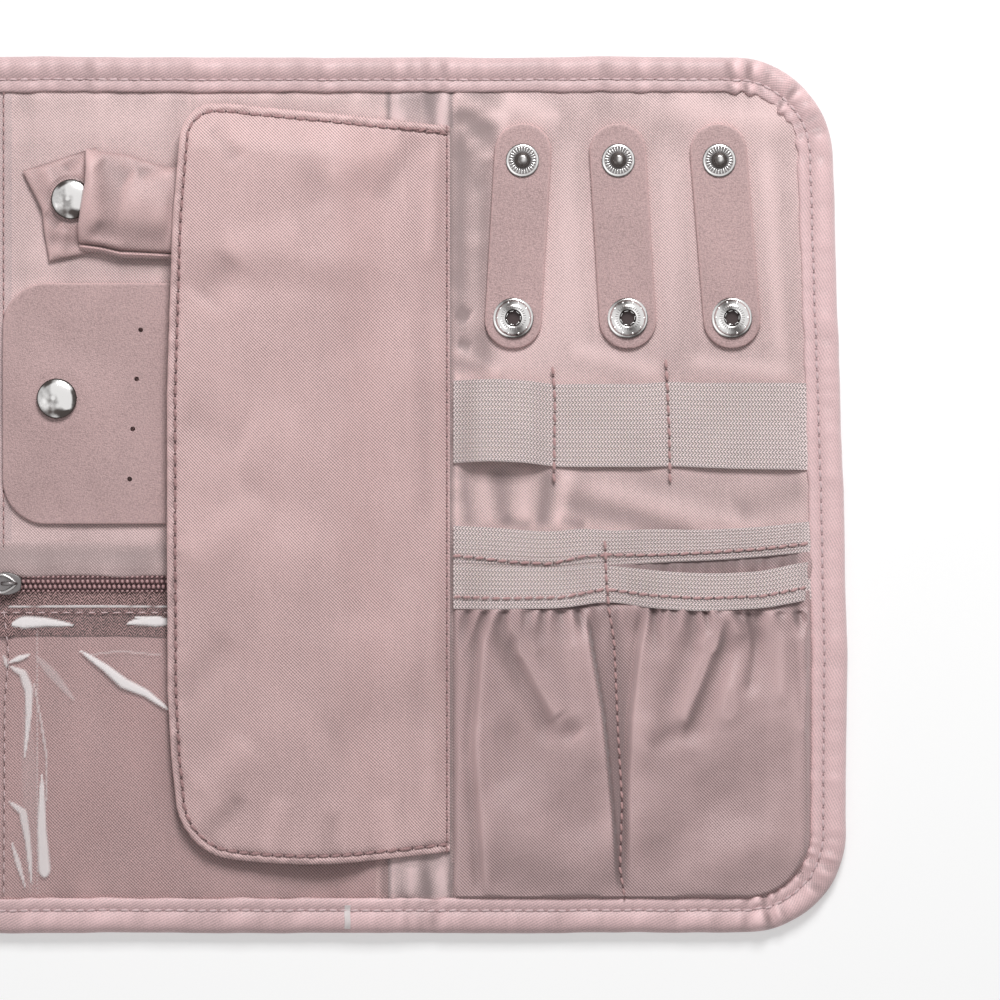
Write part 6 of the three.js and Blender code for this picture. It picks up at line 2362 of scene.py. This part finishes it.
def flat_row(name, points, z, seed):
    """A row of pale stitches along some corners, all at one level."""
    xs, ys = zip(*points)
    dense = np.linspace(0, len(xs) - 1, 30)
    x, y = np.interp(dense, range(len(xs)), xs), np.interp(dense, range(len(ys)), ys)
    return stitches(name, stacked(x, y, z), pale_thread, 3.4, 2.3, 0.42, 0.34, seed)


# %% [markdown]
# The slider is a small die casting: two shields with a throat between them and a bridge on top, which
# holds the wire pull. Shields are boxes with rounded outlines; the bridge and the pull are wires.

# %% Sliders and pulls
def wire(name, points, radius, finish, closed=True):
    """A round wire along a line of points; a closed one joins its ends."""
    sides = 10
    points = np.asarray(points, float)
    count = len(points)
    before, after = np.roll(points, 1, 0), np.roll(points, -1, 0)
    if not closed:
        before[0], after[-1] = points[0], points[-1]
    forward = after - before
    forward /= np.linalg.norm(forward, axis=1)[:, None]
    side = np.cross(forward, (0, 0, 1.0))
    weak = np.linalg.norm(side, axis=1) < 0.1
    side[weak] = (0, 1, 0)
    side /= np.linalg.norm(side, axis=1)[:, None]
    up = np.cross(side, forward)
    angles = np.linspace(0, 2 * math.pi, sides, endpoint=False)
    ring = points[:, None] + radius * (side[:, None] * np.cos(angles)[None, :, None]
                                       + up[:, None] * np.sin(angles)[None, :, None])
    index = np.arange(count * sides).reshape(count, sides)
    along = np.roll(index, -1, 0)
    round_on = np.roll(index, -1, 1)
    both = np.roll(along, -1, 1)
    faces = np.stack([index, along, both, round_on], -1)
    faces = list((faces if closed else faces[:-1]).reshape(-1, 4))
    if not closed:
        faces += [list(index[0]), list(index[-1][::-1])]
    made = new_piece(name, ring.reshape(-1, 3), faces, [finish], sharp=0.8)
    turn_out(made)
    return made


def shield(name, centre, length, width, low, high):
    """A rounded plate with a narrower nose to the right."""
    count = 40
    turn = np.linspace(0, 2 * math.pi, count, endpoint=False)
    rim = np.stack([length / 2 * np.sign(np.cos(turn)) * np.abs(np.cos(turn)) ** 0.55,
                    width / 2 * np.sign(np.sin(turn)) * np.abs(np.sin(turn)) ** 0.55], -1)
    rim[:, 1] *= 1 - 0.28 * smooth((rim[:, 0] / length + 0.1) / 0.6)
    levels = [(low, 0.93), (low + 0.15, 1), (high - 0.3, 1), (high - 0.08, 0.95), (high, 0.86)]
    points = [(*(centre + rim[i] * grow), z) for z, grow in levels for i in range(count)]
    last = (len(levels) - 1) * count
    faces = [[r + i, r + (i + 1) % count, r + count + (i + 1) % count, r + count + i]
             for r in range(0, last, count) for i in range(count)]
    faces += [list(range(count - 1, -1, -1)), list(range(last, last + count))]
    return new_piece(name, points, faces, [nickel_dark], sharp=0.6)


def make_slider(node, pull_node):
    """A slider and its pull, which are also the names of the bodies that carry them."""
    low, high = lowest(node), highest(node)
    centre = ((low + high) / 2)[:2]
    length, width = (high - low)[:2]
    base = low[2] + 0.35
    lower = shield("lower_shield", centre, length, width, low[2], low[2] + 0.7)
    upper = shield("upper_shield", centre, length, width, base + 1.35, base + 2.35)
    core = shield("core", centre + (length * 0.18, 0), length * 0.34, width * 0.42, low[2] + 0.6, base + 1.5)
    turn = np.linspace(0, math.pi, 14)
    arch = stacked(centre[0] - length * 0.28 * np.cos(turn), centre[1], base + 2.0 + 2.0 * np.sin(turn))
    bridge = wire("bridge", arch, 0.55, nickel_dark, closed=False)
    slider = joined(upper, lower, core, bridge)
    slider.name = node + "_metal"
    dress(slider, node, [node])
    low, high = lowest(pull_node), highest(pull_node)
    level = (low[2] + high[2]) / 2
    long, half = high[0] - low[0], (high[1] - low[1]) / 2
    turn = np.linspace(0, 2 * math.pi, 56, endpoint=False)
    drop = stacked(high[0] - long / 2 + (long / 2 - 0.4) * np.cos(turn),
                   centre[1] + (half - 0.4) * np.sin(turn) * (1 - 0.52 * np.cos(turn)), level)
    pull = wire(pull_node + "_wire", drop, 0.42, nickel)
    dress(pull, pull_node, [pull_node])


# %% [markdown]
# The middle pocket's coil is half hidden by a soft fold of lining along its upper side.


def zipper_fold(left, right, coil_y):
    """The fold of lining that half hides the coil."""
    low_y, high_y = coil_y + 1.9, coil_y + 12
    x, y = np.meshgrid(steps(left - 0.4, right, 1.0), steps(low_y, high_y, 0.5))
    rise = smooth((high_y - y) / 8)
    z = LINING_LEVEL + 0.15 + (1.25 + 0.25 * field(x, y * 0.3, 16, 96)) * rise
    z = z + rolled(y - low_y, 0.7, 0.5)
    top = stacked(x, y + 0.3 * field(x, 0 * y, 18, 97), z)
    # Painted shade and sheen of the fold, with painted shade that deepens towards the coil.
    paint = fold_paint(x, z, 4, 0.8, 0.9 * smooth((coil_y + 13 - y) / 5))
    return closed_sheet("zipper_fold", top, stacked(x, y, z - 0.55 * rise - 0.1), [lining_cloth], paint=paint)


def make_middle_pocket():
    """The middle panel's tapes, window, fold and slider."""
    low, high = lowest("clear_pocket_window"), highest("clear_pocket_window")
    coil_y = (lowest("zipper_coil")[1] + highest("zipper_coil")[1]) / 2
    left, right = lowest("zipper_coil")[0], highest("zipper_coil")[0]
    tapes = zip_tapes("zipper_tapes", left, right, coil_y, 7, 15.0, LINING_LEVEL)
    dress(tapes, "middle_panel", ["zipper_tape_upper", "zipper_tape_lower", "zipper_coil"])
    window = vinyl_sheet("clear_window", low[0], high[0] + 4.5, low[1], at_y(605), low[2], GLINTS)
    top_row = ((low[0] + 1.5, at_y(612.5)), at(180, 612.5))
    left_row = ((low[0] + 1.6, at_y(614)), at(9, 655), at(5, 700), at(4, 890))
    rows = [flat_row("window_top_row", top_row, low[2] + 0.75, 21),
            flat_row("window_left_row", left_row, low[2] + 0.6, 22)]
    dress(joined(window, *rows), "middle_panel", ["clear_pocket_window"])
    fold = zipper_fold(left, right, coil_y)
    dress(fold, "middle_panel", [])
    make_slider("zipper_slider", "zipper_pull")


def make_left_pocket():
    """The left panel's tapes, window and slider."""
    low, high = lowest("left_zipper"), highest("left_zipper")
    coil_y = (lowest("left_zipper_slider")[1] + highest("left_zipper_slider")[1]) / 2
    tapes = zip_tapes("left_zipper_tapes", low[0], high[0], coil_y, high[1] - coil_y, coil_y - low[1], low[2])
    dress(tapes, "left_panel", ["left_zipper"])
    low, high = lowest("left_pocket_window"), highest("left_pocket_window")
    shift = (low[0] - at_x(-5), high[1] - at_y(605))
    window = vinyl_sheet("left_clear_window", low[0], high[0], low[1], high[1], low[2], GLINTS[4:12], shift,
                         98)
    side, spine, upper, level = low[0] + 1.6, high[0] - 1.6, high[1] - 1.6, low[2] + 0.6
    row = ((side, low[1]), (side, upper), (spine, upper), (spine, low[1]))
    rows = [flat_row(name, row[i:i + 2], level, 23 + i)
            for i, name in enumerate(("side_row", "upper_row", "spine_row"))]
    dress(joined(window, *rows), "left_panel", ["left_pocket_window"])
    make_slider("left_zipper_slider", "left_zipper_pull")


make_middle_pocket()
make_left_pocket()
print("zipped pockets made")

# %% [markdown]
# ## Closing strap
#
# A leather strap comes out of the left binding. It wraps the closed roll and snaps to the stud on the
# back of the right spine.

# %% The closing strap
def make_closing_strap():
    """The closing strap, laid out flat to the left."""
    low, high = lowest("closing_strap"), highest("closing_strap")
    half = (high[1] - low[1]) / 2
    strap = leather_strip("closing_strap_leather", (0.0, 0.0), -math.pi / 2, half, low[0], high[0], low[2],
                          high[2] - low[2], square_root=True)
    dress(strap, "closing_strap", ["closing_strap"])


make_closing_strap()
make_stud("closing_stud", "right_spine", down=True)
print("closing strap made")
# %% [markdown]
# ## Light, floor and the end of the script
#
# One broad soft lamp beyond the upper edge gives the gentle shadows of the picture, which fall
# downwards. A weak wide lamp at the lower left and a pale sky fill the rest. The floor is a plain
# white sheet that keeps the shadow and turns to pure white away from it. Mirrors and glass see the
# same white.

# %% The sky and the lamps
SKY_STRENGTH = 0.27
LAMP_ENERGY = 12.6
LAMP_SIZE = 0.42
KEY_PLACE = (VIEW_X * MM + 0.14, VIEW_Y * MM + 0.80, 0.86)
FILL_ENERGY = 1.6
FILL_SIZE = 0.9
FILL_PLACE = (VIEW_X * MM - 0.7, VIEW_Y * MM - 0.4, 1.1)


def make_sky():
    """A pale sky for the shadows, which is white for the camera, mirrors and glass."""
    sky = bpy.data.worlds.new("studio")
    scene.world = sky
    sky.use_nodes = True
    tree = sky.node_tree
    background = tree.nodes["Background"]
    path = tree.nodes.new("ShaderNodeLightPath")
    seen = path.outputs["Is Camera Ray"]
    for kind in ("Is Transmission Ray", "Is Glossy Ray"):
        direct = tree.nodes.new("ShaderNodeMath")
        direct.operation = "MAXIMUM"
        tree.links.new(seen, direct.inputs[0])
        tree.links.new(path.outputs[kind], direct.inputs[1])
        seen = direct.outputs[0]
    strength = tree.nodes.new("ShaderNodeMapRange")
    strength.inputs["To Min"].default_value = SKY_STRENGTH
    strength.inputs["To Max"].default_value = 1.0
    tree.links.new(seen, strength.inputs["Value"])
    tree.links.new(strength.outputs[0], background.inputs["Strength"])
    background.inputs["Color"].default_value = (1, 1, 1, 1)


def add_lamp(name, place, energy, size):
    """A square lamp that points at the middle of the picture."""
    lamp = bpy.data.objects.new(name, bpy.data.lights.new(name, "AREA"))
    lamp.data.energy = energy
    lamp.data.size = size
    lamp.location = place
    aim = Vector((VIEW_X * MM, VIEW_Y * MM, 0)) - Vector(place)
    lamp.rotation_euler = aim.to_track_quat("-Z", "Y").to_euler()
    scene.collection.objects.link(lamp)


make_sky()
add_lamp("key_lamp", KEY_PLACE, LAMP_ENERGY, LAMP_SIZE)
add_lamp("fill_lamp", FILL_PLACE, FILL_ENERGY, FILL_SIZE)

# %% The floor
FLOOR_SIZE = 6.0
FLOOR_GLOW = 1.15
FLOOR_GLOW_SHARE = 0.36


def make_floor():
    """White paper, which glows a little for the camera so that it ends as pure white."""
    half = FLOOR_SIZE / 2
    corners = [(-half, -half, 0), (half, -half, 0), (half, half, 0), (-half, half, 0)]
    mesh = bpy.data.meshes.new("floor")
    mesh.from_pydata(corners, [], [(0, 1, 2, 3)])
    floor = bpy.data.objects.new("floor", mesh)
    scene.collection.objects.link(floor)
    paper = Finish("white_paper", 0.9, specular=0.0)
    paper.colour(linear(250, 250, 250))
    glow = paper.node("ShaderNodeEmission", {}, {"Color": (1, 1, 1, 1), "Strength": FLOOR_GLOW})
    path = paper.tree.nodes.new("ShaderNodeLightPath")
    seen = Value(paper, path.outputs["Is Camera Ray"])
    shader = Value(paper, paper.shader.outputs[0])
    values = {"Fac": seen * FLOOR_GLOW_SHARE, "Shader": shader, "Shader_001": glow}
    mixed = paper.node("ShaderNodeMixShader", {}, values)
    paper.tree.links.new(mixed.socket, paper.output.inputs[0])
    mesh.materials.append(paper.material)


make_floor()
